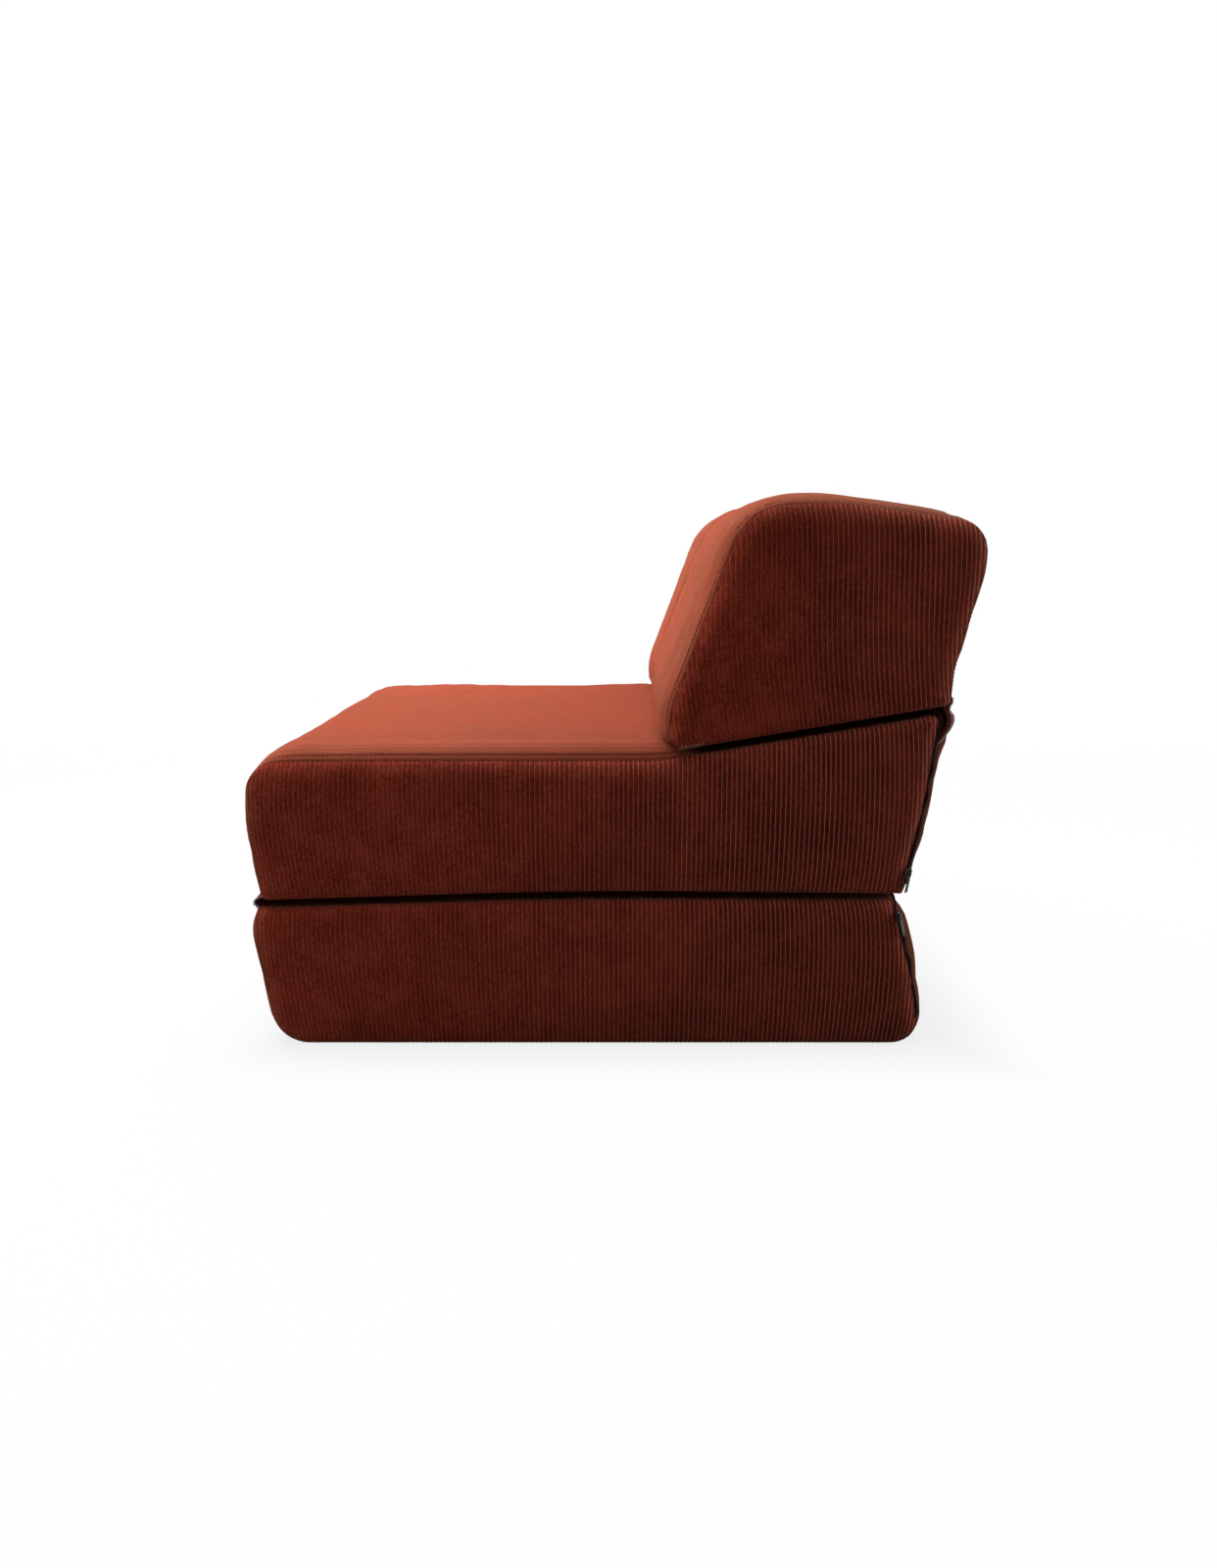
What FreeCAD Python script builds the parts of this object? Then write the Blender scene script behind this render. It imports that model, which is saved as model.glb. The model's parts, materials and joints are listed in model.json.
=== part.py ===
import FreeCAD, Part
import math
import os
import Sketcher

# Convertible chair bed: three foam blocks in wide-ribbed corduroy covers, folded like a Z.
# The base block lies on the floor, the seat block is hinged to its front edge, and the
# back bolster is hinged to the seat block's rear top edge. Each cover has a zip.
# Millimetres, X across the width, Y from the front to the rear, Z up from the floor.

Vector = FreeCAD.Vector
doc = FreeCAD.newDocument("chair_bed")
sheet = doc.addObject("Spreadsheet::Sheet", "dims")

# Driving dimensions that all three blocks share.
SHARED_DIMENSIONS = {
    # how far each sort of face swells from its side seam to the shoulder, and on to the centre
    "free_draw": 4.5, "free_crown": 1,
    "rear_draw": 15, "rear_crown": 3,
    "seat_draw": 19, "seat_crown": 5,
    "back_draw": 3, "back_crown": 1,
    "nape_draw": 6, "nape_crown": 0,
    "top_draw": 9, "top_crown": 3,
    "pressed_draw": 2.6, "pressed_crown": 0,
    "floor_draw": 2.3, "floor_crown": 0,
    # stations across the width, from the middle outwards
    "shoulder_x": 312, "seam_x": 340, "rim_x": 346, "face_x": 350,
    "rim_step": 8, "face_step": 22,
    "fabric": 3,
    # zips: tape let into the cover, coil proud of it, slider and pull
    "tape_width": 18, "coil_width": 5, "coil_height": 2.2,
    "stop_width": 7, "stop_length": 5,
    "ridge_rise": 1.2, "slider_gap": 0.5, "slider_plate": 2.2, "slider_width": 9, "slider_length": 12,
    "bridge_width": 2.4, "bridge_length": 9, "bridge_height": 3.4, "bridge_hole": 1.1,
    "pull_width": 6.8, "pull_length": 27, "pull_thickness": 1,
    "pull_window": 3.3, "pull_window_length": 5.6, "pull_pin": 0.75, "pull_eye": 1.4,
    # zip runs, measured along the rear seam from its lower corner
    "base_zip_foot": 43, "base_zip_head": 195, "base_slider_rest": 184,
    "seat_zip_foot": 14, "seat_zip_head": 216, "seat_slider_rest": 31,
    "back_zip_height": 478, "back_zip_reach": 300, "back_slider_rest": 288,
    # cloth hinges: the line each one turns about, and the band sewn along it
    "front_hinge_y": -474, "front_hinge_z": 203.2,
    "rear_hinge_y": 444, "rear_hinge_z": 458,
    "band_reach": 325, "band_split": 0.6,
    "front_band_drop": 18, "rear_band_drop": 10, "band_depth": 16,
    # the seat's foam is a slab with a wedge glued on top of its rear half
    "wedge_glue_z": 392, "wedge_start_y": 78,
}

# Each outline is the side seam seen from the side, as corners and the radius that rounds them.
# The last two entries say which sort of face lies across (front or rear) and up (top or
# bottom) of the corner, and on which side, so that the swelling moves the corner that way.
BASE_OUTLINE = [
    ("rear_bottom", 427, 2, 32, (1, "rear"), (-1, "floor")),
    ("rear_top", 373.5, 206, 8, (1, "rear"), (1, "pressed")),
    ("top_middle", -40, 211, 7000, None, (1, "pressed")),
    ("front_top", -465.5, 199.3, 10, (-1, "free"), (1, "pressed")),
    ("front_bulge", -472.5, 155, 80, (-1, "free"), None),
    ("front_bottom", -447, 2, 45, (-1, "free"), (-1, "floor")),
]
SEAT_OUTLINE = [
    ("rear_bottom", 385, 212, 10, (1, "rear"), (-1, "pressed")),
    ("rear_top", 422.5, 452, 12, (1, "rear"), (1, "pressed")),
    ("valley", 84, 396.2, 15, None, (1, "pressed")),
    ("seat_rear", 60, 390.5, 20, None, (1, "seat")),
    ("front_top", -470.5, 389, 35, (-1, "free"), (1, "seat")),
    ("front_bulge", -471.5, 310, 200, (-1, "free"), None),
    ("front_bottom", -459, 205.6, 10, (-1, "free"), (-1, "pressed")),
    ("under_middle", -40, 217, 7000, None, (-1, "pressed")),
]
BACK_OUTLINE = [
    ("rear_bottom", 436.5, 460.3, 10, (1, "nape"), (-1, "pressed")),
    ("rear_lower", 436.5, 505, 120, (1, "nape"), None),
    ("rear_upper", 468, 630, 150, (1, "nape"), None),
    ("rear_top", 469, 691, 38, (1, "nape"), (1, "top")),
    ("top_middle", 275, 716, 400, None, (1, "top")),
    ("front_top", 172, 709, 70, (-1, "back"), (1, "top")),
    ("front_middle", 80.5, 462, 150, (-1, "back"), None),
    ("front_bottom", 74.5, 400.6, 22, (-1, "back"), (-1, "pressed")),
]
OUTLINES = {"base": BASE_OUTLINE, "seat": SEAT_OUTLINE, "back": BACK_OUTLINE}


def fill_sheet():
    """Put every driving dimension in the sheet: its name in column A, its value in column B."""
    values = dict(SHARED_DIMENSIONS)
    for block, outline in OUTLINES.items():
        for corner, y, z, radius, across, up in outline:
            values[f"{block}_{corner}_y"] = y
            values[f"{block}_{corner}_z"] = z
            values[f"{block}_{corner}_radius"] = radius
    for row, (alias, value) in enumerate(values.items(), start=1):
        sheet.set(f"A{row}", alias.replace("_", " "))
        sheet.set(f"B{row}", str(value))
        sheet.setAlias(f"B{row}", alias)
    doc.recompute()


def size(expression):
    """The present value of an expression on the sheet's names."""
    return float(sheet.evalExpression(expression))


def bind(thing, **expressions):
    """Bind properties of an object to expressions, with a double underscore for each dot."""
    for name, expression in expressions.items():
        thing.setExpression(name.replace("__", "."), expression)


# Blocks: each form is a loft through one outline per station, from side to side.

STATIONS = {
    "centre": "dims.{kind}_draw + dims.{kind}_crown",
    "shoulder": "dims.{kind}_draw",
    "seam": "0",
    "rim": "-dims.rim_step",
    "face": "-dims.face_step",
}


def corner_expressions(block, entry, station, allowance):
    """A corner's place and radius at one station, moved out by its faces and the allowance."""
    corner, y, z, radius, across, up = entry
    places = []
    for letter, side in (("y", across), ("z", up)):
        place = f"dims.{block}_{corner}_{letter}"
        if side:
            sign = "+" if side[0] > 0 else "-"
            swelling = STATIONS[station].format(kind=side[1])
            place += f" {sign} ({swelling}{allowance})"
        places.append(place)
    return places[0], places[1], f"dims.{block}_{corner}_radius"


def rounded(corners):
    """Start, end, centre, radius and turning side of the arc that rounds each corner."""
    arcs = []
    for index, (point, radius) in enumerate(corners):
        before = (point - corners[index - 1][0]).normalize()
        after = (corners[(index + 1) % len(corners)][0] - point).normalize()
        turn = math.atan2(before.x * after.y - before.y * after.x, before.dot(after))
        reach = abs(radius * math.tan(turn / 2))
        side = 1 if turn > 0 else -1
        start = point - before * reach
        centre = start + Vector(-before.y, before.x, 0) * (radius * side)
        arcs.append((start, point + after * reach, centre, radius, side))
    return arcs


def outline_geometry(corners):
    """One arc for each corner, then the lines between the arcs, then the corners as points."""
    arcs = rounded(corners)
    shapes = []
    for start, end, centre, radius, side in arcs:
        first, last = (start, end) if side > 0 else (end, start)
        begin = math.atan2(first.y - centre.y, first.x - centre.x)
        finish = math.atan2(last.y - centre.y, last.x - centre.x)
        if finish < begin:
            finish += 2 * math.pi
        circle = Part.Circle(centre, Vector(0, 0, 1), radius)
        shapes.append(Part.ArcOfCircle(circle, begin, finish))
    for index, arc in enumerate(arcs):
        shapes.append(Part.LineSegment(arc[1], arcs[(index + 1) % len(arcs)][0]))
    points = [Part.Point(point) for point, radius in corners]
    return arcs, shapes, points


def outline_sketch(body, name, block, station, x_expression, allowance):
    """A closed outline across the body at one station, bound to the sheet's cells."""
    sketch = body.newObject("Sketcher::SketchObject", name)
    attach(sketch, body, "YZ_Plane")
    bind(sketch, AttachmentOffset__Base__z=x_expression)
    outline = OUTLINES[block]
    expressions = [corner_expressions(block, entry, station, allowance) for entry in outline]
    corners = [(Vector(size(y), size(z), 0), size(r)) for y, z, r in expressions]
    arcs, shapes, points = outline_geometry(corners)
    sketch.addGeometry(shapes, False)
    sketch.addGeometry(points, True)
    count = len(corners)
    for index, (y, z, radius) in enumerate(expressions):
        start, end = (1, 2) if arcs[index][4] > 0 else (2, 1)
        line_after = count + index
        line_before = count + (index - 1) % count
        point = 2 * count + index
        place, rounding = corners[index]
        ties = [
            Sketcher.Constraint("Tangent", line_before, 2, index, start),
            Sketcher.Constraint("Tangent", index, end, line_after, 1),
            Sketcher.Constraint("PointOnObject", point, 1, line_before),
            Sketcher.Constraint("PointOnObject", point, 1, line_after),
        ]
        sketch.addConstraint(ties)
        corner = outline[index][0]
        measure(sketch, Sketcher.Constraint("DistanceX", -1, 1, point, 1, place.x), corner + "_y", y)
        measure(sketch, Sketcher.Constraint("DistanceY", -1, 1, point, 1, place.y), corner + "_z", z)
        measure(sketch, Sketcher.Constraint("Radius", index, rounding), corner + "_radius", radius)
    return sketch


def attach(sketch, body, role):
    """Lay a sketch on one of its own body's origin planes."""
    plane = [item for item in body.Origin.OriginFeatures if item.Role == role][0]
    sketch.AttachmentSupport = [(plane, "")]
    sketch.MapMode = "FlatFace"


def measure(sketch, constraint, name, expression):
    """Add a named dimension to a sketch and bind it."""
    number = sketch.addConstraint(constraint)
    sketch.renameConstraint(number, name)
    sketch.setExpression("Constraints." + name, expression)


def block_form(block, label, allowance=""):
    """A whole block as one solid: crowned middle, shoulders, and side panels that swell out."""
    body = doc.addObject("PartDesign::Body", label)
    outlines = {"centre": outline_sketch(body, label + "_centre", block, "centre", "0", allowance)}
    for side, sign in (("left", "-"), ("right", "")):
        for station in ("shoulder", "seam", "rim", "face"):
            across = f"{sign}(dims.{station}_x"
            across += ")" if station == "shoulder" else f"{allowance})"
            name = f"{label}_{side}_{station}"
            outlines[side, station] = outline_sketch(body, name, block, station, across, allowance)
    doc.recompute()
    middle = [outlines["left", "shoulder"], outlines["centre"], outlines["right", "shoulder"]]
    add_loft(body, label + "_middle", middle)
    for side in ("left", "right"):
        add_loft(body, f"{label}_{side}_shoulder", [outlines[side, "shoulder"], outlines[side, "seam"]])
        panel = [outlines[side, "seam"], outlines[side, "rim"], outlines[side, "face"]]
        add_loft(body, f"{label}_{side}_panel", panel)
    return body


def add_loft(body, name, sketches):
    loft = body.newObject("PartDesign::AdditiveLoft", name)
    loft.Profile = sketches[0]
    loft.Sections = sketches[1:]
    doc.recompute()


# Regions that cut a cover into its panels: boxes laid flat or along the rear seam.

def region(name, low, high, placement=None):
    """A box from its low to its high corner, given as expressions, in a placed frame."""
    box = doc.addObject("Part::Box", name)
    sides = ("Length", "Width", "Height")
    for side, start, end in zip(sides, low, high):
        box.setExpression(side, f"({end}) - ({start})")
    corner = f"vector({low[0]}; {low[1]}; {low[2]})"
    shift = f"placement({corner}; rotation(vector(0; 0; 1); 0))"
    bind(box, Placement=f"{placement} * {shift}" if placement else shift)
    return box


def boolean(kind, name, base, tool):
    """Part::Cut, Part::Common or Part::Fuse of two objects."""
    result = doc.addObject("Part::" + kind, name)
    result.Base = base
    result.Tool = tool
    return result


def seam_run(block):
    """The straight rear seam: its rise in Y and in Z, its length, and its lean from upright."""
    rise_y = f"(dims.{block}_rear_top_y - dims.{block}_rear_bottom_y)"
    rise_z = f"(dims.{block}_rear_top_z - dims.{block}_rear_bottom_z)"
    return rise_y, rise_z, f"sqrt({rise_y}^2 + {rise_z}^2)", f"(-atan2({rise_y}; {rise_z}))"


def seam_frame(block, x="0", along="0", turn="0"):
    """Placement on the rear seam: Z along the seam, Y out of the rear, turned about the seam."""
    rise_y, rise_z, length, lean = seam_run(block)
    y = f"dims.{block}_rear_bottom_y + ({along}) * {rise_y} / {length}"
    z = f"dims.{block}_rear_bottom_z + ({along}) * {rise_z} / {length}"
    tilt = f"rotation(vector(1; 0; 0); {lean})"
    swing = f"rotation(vector(0; 0; 1); {turn})"
    return f"placement(vector({x}; {y}; {z}); {tilt}) * placement(vector(0; 0; 0); {swing})"


SEAM_DEPTH = "14"
REAR_REACH = "40"
FAR_OUT = "60"


def arch_region(block, name, width):
    """The path of an arched zip: up one rear seam, across the top and down the other."""
    frame = seam_frame(block)
    foot = f"dims.{block}_zip_foot"
    head = f"dims.{block}_zip_head + {width} / 2"
    across = region(
        name + "_top",
        (f"-dims.seam_x - {width} / 2", "-" + SEAM_DEPTH, f"dims.{block}_zip_head - {width} / 2"),
        (f"dims.seam_x + {width} / 2", REAR_REACH, head), frame)
    arch = across
    for side, sign in (("left", "-"), ("right", "")):
        leg = region(
            f"{name}_{side}",
            (f"{sign}dims.seam_x - {width} / 2", "-" + SEAM_DEPTH, foot),
            (f"{sign}dims.seam_x + {width} / 2", REAR_REACH, head), frame)
        arch = boolean("Fuse", f"{name}_with_{side}", arch, leg)
    return arch


def rear_flap_region(block, name):
    """What the arched zip encloses, down to the bottom edge."""
    edge = "dims.seam_x - dims.tape_width / 2"
    return region(
        name,
        (f"-({edge})", "-26", "-" + FAR_OUT),
        (edge, REAR_REACH, f"dims.{block}_zip_head - dims.tape_width / 2"), seam_frame(block))


def straight_region(name, width, reach):
    """The path of the bolster's straight zip, along the foot of its rear face."""
    return region(
        name,
        (f"-({reach})", "dims.back_rear_bottom_y - 10", f"dims.back_zip_height - {width} / 2"),
        (reach, "dims.back_rear_bottom_y + 20", f"dims.back_zip_height + {width} / 2"))


def stop_regions(block):
    """Small blocks at the two ends of a zip."""
    ends = []
    for side, sign in (("left", "-"), ("right", "")):
        name = f"{block}_stop_region_{side}"
        if block == "back":
            near = f"{sign}(dims.back_zip_reach + dims.stop_length / 2)"
            low = (f"{near} - dims.stop_length / 2", "dims.back_rear_bottom_y - 10",
                   "dims.back_zip_height - dims.stop_width / 2")
            high = (f"{near} + dims.stop_length / 2", "dims.back_rear_bottom_y + 20",
                    "dims.back_zip_height + dims.stop_width / 2")
            ends.append(region(name, low, high))
        else:
            low = (f"{sign}dims.seam_x - dims.stop_width / 2", "-" + SEAM_DEPTH,
                   f"dims.{block}_zip_foot - dims.stop_length")
            high = (f"{sign}dims.seam_x + dims.stop_width / 2", REAR_REACH, f"dims.{block}_zip_foot")
            ends.append(region(name, low, high, seam_frame(block)))
    return boolean("Fuse", block + "_stop_region", ends[0], ends[1])


def side_region(block, side):
    """Everything outside one side seam."""
    far = "dims.face_x + " + FAR_OUT
    if side == "right":
        return region(f"{block}_right_side", ("dims.seam_x", "-600", "-100"), (far, "600", "900"))
    return region(f"{block}_left_side", (f"-({far})", "-600", "-100"), ("-dims.seam_x", "600", "900"))


def floor_region():
    """Everything below the floor, so that the base stands on a flat underside."""
    return region("floor_region", ("-dims.face_x", "-600", "-50"), ("dims.face_x", "600", "0"))


def block_parts(block):
    """The foam, the cover's panels and the zip of one block, as objects named for their nodes."""
    core = block_form(block, block + "_foam_core", " - dims.fabric")
    outer = block_form(block, block + "_cover_form")
    if block == "base":
        outer = boolean("Cut", "base_standing_form", outer, floor_region())
    proud = block_form(block, block + "_coil_form", " + dims.coil_height")
    cover = boolean("Cut", block + "_cover", outer, core)
    raised = boolean("Cut", block + "_raised_skin", proud, outer)

    if block == "back":
        tape_region = straight_region("back_tape_region", "dims.tape_width", "dims.back_zip_reach + 6")
        coil_region = straight_region("back_coil_region", "dims.coil_width", "dims.back_zip_reach")
        opening = tape_region
    else:
        tape_region = arch_region(block, block + "_tape_region", "dims.tape_width")
        coil_region = arch_region(block, block + "_coil_region", "dims.coil_width")
        flap_region = rear_flap_region(block, block + "_flap_region")
        opening = boolean("Fuse", block + "_opening_region", tape_region, flap_region)

    middle = region(block + "_middle", ("-dims.seam_x", "-600", "-100"), ("dims.seam_x", "600", "900"))
    wrapped = boolean("Common", block + "_wrapped", cover, middle)
    pieces = {
        block + "_foam_core": core,
        block + "_wrap_panel": boolean("Cut", block + "_wrap_panel", wrapped, opening),
        block + "_zip_tape": boolean("Common", block + "_zip_tape", cover, tape_region),
        block + "_zip_coil": boolean("Common", block + "_zip_coil", raised, coil_region),
        block + "_zip_stops": boolean("Common", block + "_zip_stops", raised, stop_regions(block)),
    }
    if block != "back":
        flap = boolean("Common", block + "_flap", cover, flap_region)
        rear = boolean("Cut", block + "_rear_panel", flap, tape_region)
        pieces[block + "_rear_panel"] = rear
    for side in ("left", "right"):
        beyond = boolean("Common", f"{block}_{side}_beyond", cover, side_region(block, side))
        name = f"{block}_{side}_side_panel"
        pieces[name] = boolean("Cut", name, beyond, tape_region)
    return pieces, outer, proud


def seat_foam(core):
    """The seat's foam as two pieces: the slab, and the wedge glued on its rear half."""
    above = region(
        "wedge_region",
        ("-dims.face_x - 10", "dims.wedge_start_y", "dims.wedge_glue_z"),
        ("dims.face_x + 10", "600", "600"))
    return {
        "seat_foam_wedge": boolean("Common", "seat_foam_wedge", core, above),
        "seat_foam_slab": boolean("Cut", "seat_foam_slab", core, above),
    }


# Zip sliders and pulls, drawn at the origin: Z along the zip, Y out of the cloth, X across.

SLIDER_FLOOR = "dims.coil_height + dims.slider_gap"
SLIDER_TOP = SLIDER_FLOOR + " + dims.slider_plate"
PIN_HEIGHT = SLIDER_TOP + " + dims.bridge_height / 2 - 0.1"


def rectangle_sketch(body, name, low, high, role="YZ_Plane"):
    """A rectangle between two corners, each a pair of expressions."""
    sketch = body.newObject("Sketcher::SketchObject", name)
    attach(sketch, body, role)
    left, bottom = size(low[0]), size(low[1])
    right, top = size(high[0]), size(high[1])
    points = [Vector(left, bottom), Vector(right, bottom), Vector(right, top), Vector(left, top)]
    for index, point in enumerate(points):
        sketch.addGeometry(Part.LineSegment(point, points[(index + 1) % 4]), False)
    for index in range(4):
        sketch.addConstraint(Sketcher.Constraint("Coincident", index, 2, (index + 1) % 4, 1))
    for index in (0, 2):
        sketch.addConstraint(Sketcher.Constraint("Horizontal", index))
        sketch.addConstraint(Sketcher.Constraint("Vertical", index + 1))
    measure(sketch, Sketcher.Constraint("DistanceX", -1, 1, 0, 1, left), "low_across", low[0])
    measure(sketch, Sketcher.Constraint("DistanceY", -1, 1, 0, 1, bottom), "low_along", low[1])
    measure(sketch, Sketcher.Constraint("DistanceX", -1, 1, 1, 2, right), "high_across", high[0])
    measure(sketch, Sketcher.Constraint("DistanceY", -1, 1, 2, 2, top), "high_along", high[1])
    return sketch


def circle_sketch(body, name, centre, radius, role="YZ_Plane"):
    """A circle about a centre, given as a pair of expressions."""
    sketch = body.newObject("Sketcher::SketchObject", name)
    attach(sketch, body, role)
    across, along = size(centre[0]), size(centre[1])
    circle = Part.Circle(Vector(across, along), Vector(0, 0, 1), size(radius))
    sketch.addGeometry(circle, False)
    measure(sketch, Sketcher.Constraint("DistanceX", -1, 1, 0, 3, across), "centre_across", centre[0])
    measure(sketch, Sketcher.Constraint("DistanceY", -1, 1, 0, 3, along), "centre_along", centre[1])
    measure(sketch, Sketcher.Constraint("Radius", 0, size(radius)), "circle_radius", radius)
    return sketch


def extrude(body, kind, name, sketch, width):
    """A Pad or Pocket of a sketch, the same width to both sides of its plane."""
    feature = body.newObject("PartDesign::" + kind, name)
    feature.Profile = sketch
    feature.Midplane = True
    bind(feature, Length=width)
    doc.recompute()
    return feature


def zip_slider(block, placement):
    """A slider: a flat body over the coil, and a bridge with a hole for the pull's pin."""
    name = block + "_zip_slider"
    body = doc.addObject("PartDesign::Body", name)
    plate = rectangle_sketch(
        body, name + "_plate_outline",
        (SLIDER_FLOOR, "-dims.slider_length / 2"), (SLIDER_TOP, "dims.slider_length / 2"))
    extrude(body, "Pad", name + "_plate", plate, "dims.slider_width")
    bridge = rectangle_sketch(
        body, name + "_bridge_outline",
        (SLIDER_TOP, "-dims.bridge_length / 2"),
        (SLIDER_TOP + " + dims.bridge_height", "dims.bridge_length / 2"))
    extrude(body, "Pad", name + "_bridge", bridge, "dims.bridge_width")
    hole = circle_sketch(body, name + "_hole_outline", (PIN_HEIGHT, "0"), "dims.bridge_hole")
    extrude(body, "Pocket", name + "_hole", hole, "dims.slider_width")
    bind(body, Placement=placement)
    return body


def zip_pull(block, placement):
    """A pull that hangs from the slider: a tab with a fork and a pin through the bridge."""
    name = block + "_zip_pull"
    body = doc.addObject("PartDesign::Body", name)
    tab = rectangle_sketch(
        body, name + "_tab_outline",
        (PIN_HEIGHT + " - dims.pull_thickness / 2", "-dims.pull_length"),
        (PIN_HEIGHT + " + dims.pull_thickness / 2", "dims.pull_pin + 0.4"))
    extrude(body, "Pad", name + "_tab", tab, "dims.pull_width")
    window = rectangle_sketch(
        body, name + "_window_outline",
        (PIN_HEIGHT + " - dims.pull_thickness", "-dims.pull_window_length"),
        (PIN_HEIGHT + " + dims.pull_thickness", "dims.pull_pin + 2"))
    extrude(body, "Pocket", name + "_window", window, "dims.pull_window")
    pin = circle_sketch(body, name + "_pin_outline", (PIN_HEIGHT, "0"), "dims.pull_pin")
    extrude(body, "Pad", name + "_pin", pin, "dims.pull_width")
    eye = circle_sketch(
        body, name + "_eye_outline", ("0", "-dims.pull_length + dims.pull_width / 2"),
        "dims.pull_eye", "XZ_Plane")
    extrude(body, "Pocket", name + "_eye", eye, "4 * dims.bridge_height + 4 * (" + PIN_HEIGHT + ")")
    bind(body, Placement=placement)
    return body


def slider_placement(block):
    """On the right rear seam, facing out between the rear and the side; or flat on the bolster."""
    if block == "back":
        y = "dims.back_rear_bottom_y + dims.nape_draw"
        place = f"vector(dims.back_slider_rest; {y}; dims.back_zip_height)"
        return f"placement({place}; rotation(vector(0; 1; 0); 90))"
    rear_slope = "atan2(dims.rear_draw; dims.seam_x - dims.shoulder_x)"
    side_slope = "atan2(dims.rim_step; dims.rim_x - dims.seam_x)"
    turn = f"-({rear_slope} + {side_slope}) / 2"
    on_seam = seam_frame(block, "dims.seam_x", f"dims.{block}_slider_rest", turn)
    return on_seam + " * placement(vector(0; dims.ridge_rise; 0); rotation(vector(0; 0; 1); 0))"


# Cloth hinges: a band sewn along each of the two edges that meet.

def hinge_band(name, low, high, form):
    """A strip that fills the hollow between a block's rounded edge and the hinge line."""
    return boolean("Cut", name, region(name + "_region", low, high), form)


def hinge_bands(forms, back_clearance):
    """The four bands; the one below the bolster stays clear of the bolster's grown form."""
    front = "dims.front_hinge_y"
    front_z = "dims.front_hinge_z"
    rear = "dims.rear_hinge_y"
    rear_z = "dims.rear_hinge_z"
    left, right = "-dims.band_reach", "dims.band_reach"
    inward = f"{front} + dims.band_depth"
    outward = f"{rear} - dims.band_depth"
    lower_rear = hinge_band(
        "rear_lower_strip", (left, outward, f"{rear_z} - dims.rear_band_drop"),
        (right, rear, f"{rear_z} - dims.band_split"), forms["seat"])
    return {
        "front_hinge_lower_band": hinge_band(
            "front_hinge_lower_band", (left, front, f"{front_z} - dims.front_band_drop"),
            (right, inward, f"{front_z} - dims.band_split"), forms["base"]),
        "front_hinge_upper_band": hinge_band(
            "front_hinge_upper_band", (left, front, f"{front_z} + dims.band_split"),
            (right, inward, f"{front_z} + dims.front_band_drop"), forms["seat"]),
        "rear_hinge_lower_band": boolean(
            "Cut", "rear_hinge_lower_band", lower_rear, back_clearance),
        "rear_hinge_upper_band": hinge_band(
            "rear_hinge_upper_band", (left, outward, f"{rear_z} + dims.band_split"),
            (right, rear, f"{rear_z} + dims.rear_band_drop"), forms["back"]),
    }


def check_objects():
    """Stop if any object failed to rebuild."""
    for item in doc.Objects:
        if "Invalid" in item.State or "Error" in item.State:
            raise RuntimeError(f"{item.Name} did not rebuild: {item.State}")


def write_parts(pieces):
    os.makedirs("parts", exist_ok=True)
    for name, piece in pieces.items():
        piece.Label = name
        shape = piece.Shape
        if shape.isNull() or not shape.isValid() or not shape.Solids:
            raise RuntimeError(name + " is not a sound solid")
    for name, piece in pieces.items():
        piece.Shape.exportStep(f"parts/{piece.Label}.step")
        litres = piece.Shape.Volume / 1e6
        print(f"{name}: {len(piece.Shape.Solids)} solid, {litres:.4f} litres")
    print(len(pieces), "sub-parts written")


def build():
    fill_sheet()
    pieces = {}
    forms = {}
    for block in OUTLINES:
        block_pieces, forms[block], clear_form = block_parts(block)
        pieces.update(block_pieces)
        pieces[block + "_zip_slider"] = zip_slider(block, slider_placement(block))
        pieces[block + "_zip_pull"] = zip_pull(block, slider_placement(block))
    seat_core = pieces.pop("seat_foam_core")
    pieces.update(seat_foam(seat_core))
    pieces.update(hinge_bands(forms, clear_form))
    doc.recompute()
    check_objects()
    write_parts(pieces)


build()
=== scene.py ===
import json
import math

import bpy
import numpy as np
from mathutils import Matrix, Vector


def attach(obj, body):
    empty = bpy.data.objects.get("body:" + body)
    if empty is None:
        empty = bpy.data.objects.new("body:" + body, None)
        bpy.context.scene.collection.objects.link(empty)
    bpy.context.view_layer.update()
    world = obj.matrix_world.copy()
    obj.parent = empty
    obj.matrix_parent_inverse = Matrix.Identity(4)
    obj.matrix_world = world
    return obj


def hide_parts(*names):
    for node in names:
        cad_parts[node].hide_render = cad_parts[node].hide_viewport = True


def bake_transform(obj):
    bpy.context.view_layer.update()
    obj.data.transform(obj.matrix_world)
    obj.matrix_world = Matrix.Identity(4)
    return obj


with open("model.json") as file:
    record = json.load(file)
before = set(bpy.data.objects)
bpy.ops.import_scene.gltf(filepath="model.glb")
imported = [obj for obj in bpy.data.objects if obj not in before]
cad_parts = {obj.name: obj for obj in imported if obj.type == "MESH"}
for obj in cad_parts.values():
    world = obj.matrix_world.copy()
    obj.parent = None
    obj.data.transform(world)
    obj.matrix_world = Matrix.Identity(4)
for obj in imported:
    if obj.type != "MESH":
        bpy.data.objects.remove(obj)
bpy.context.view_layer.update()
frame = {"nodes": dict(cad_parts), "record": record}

# Sizes are in millimetres until a mesh is made. X runs across the width, Y from front to rear.

MM = 0.001

# The side seams of each block lie at SEAM_X. The side panels swell out from them over a rounding,
# tighter where two blocks press on each other, which is where a face swells less than
# PRESSED_BELOW, and the wrap rises from them over its shoulder. The swelling of one face passes into
# the next one's over FACE_REACH.
SEAM_X = 340.0
SEAM_SINK = 0.8
SIDE_SWELL = 10.0
SIDE_ROUNDING = 22.0
PRESSED_ROUNDING = 7.0
PRESSED_BELOW = 2.5
PRESSED_REACH = 12.0
SHOULDER = 30.0
FACE_REACH = 22.0
FLOOR_GAP = 0.2

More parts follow.
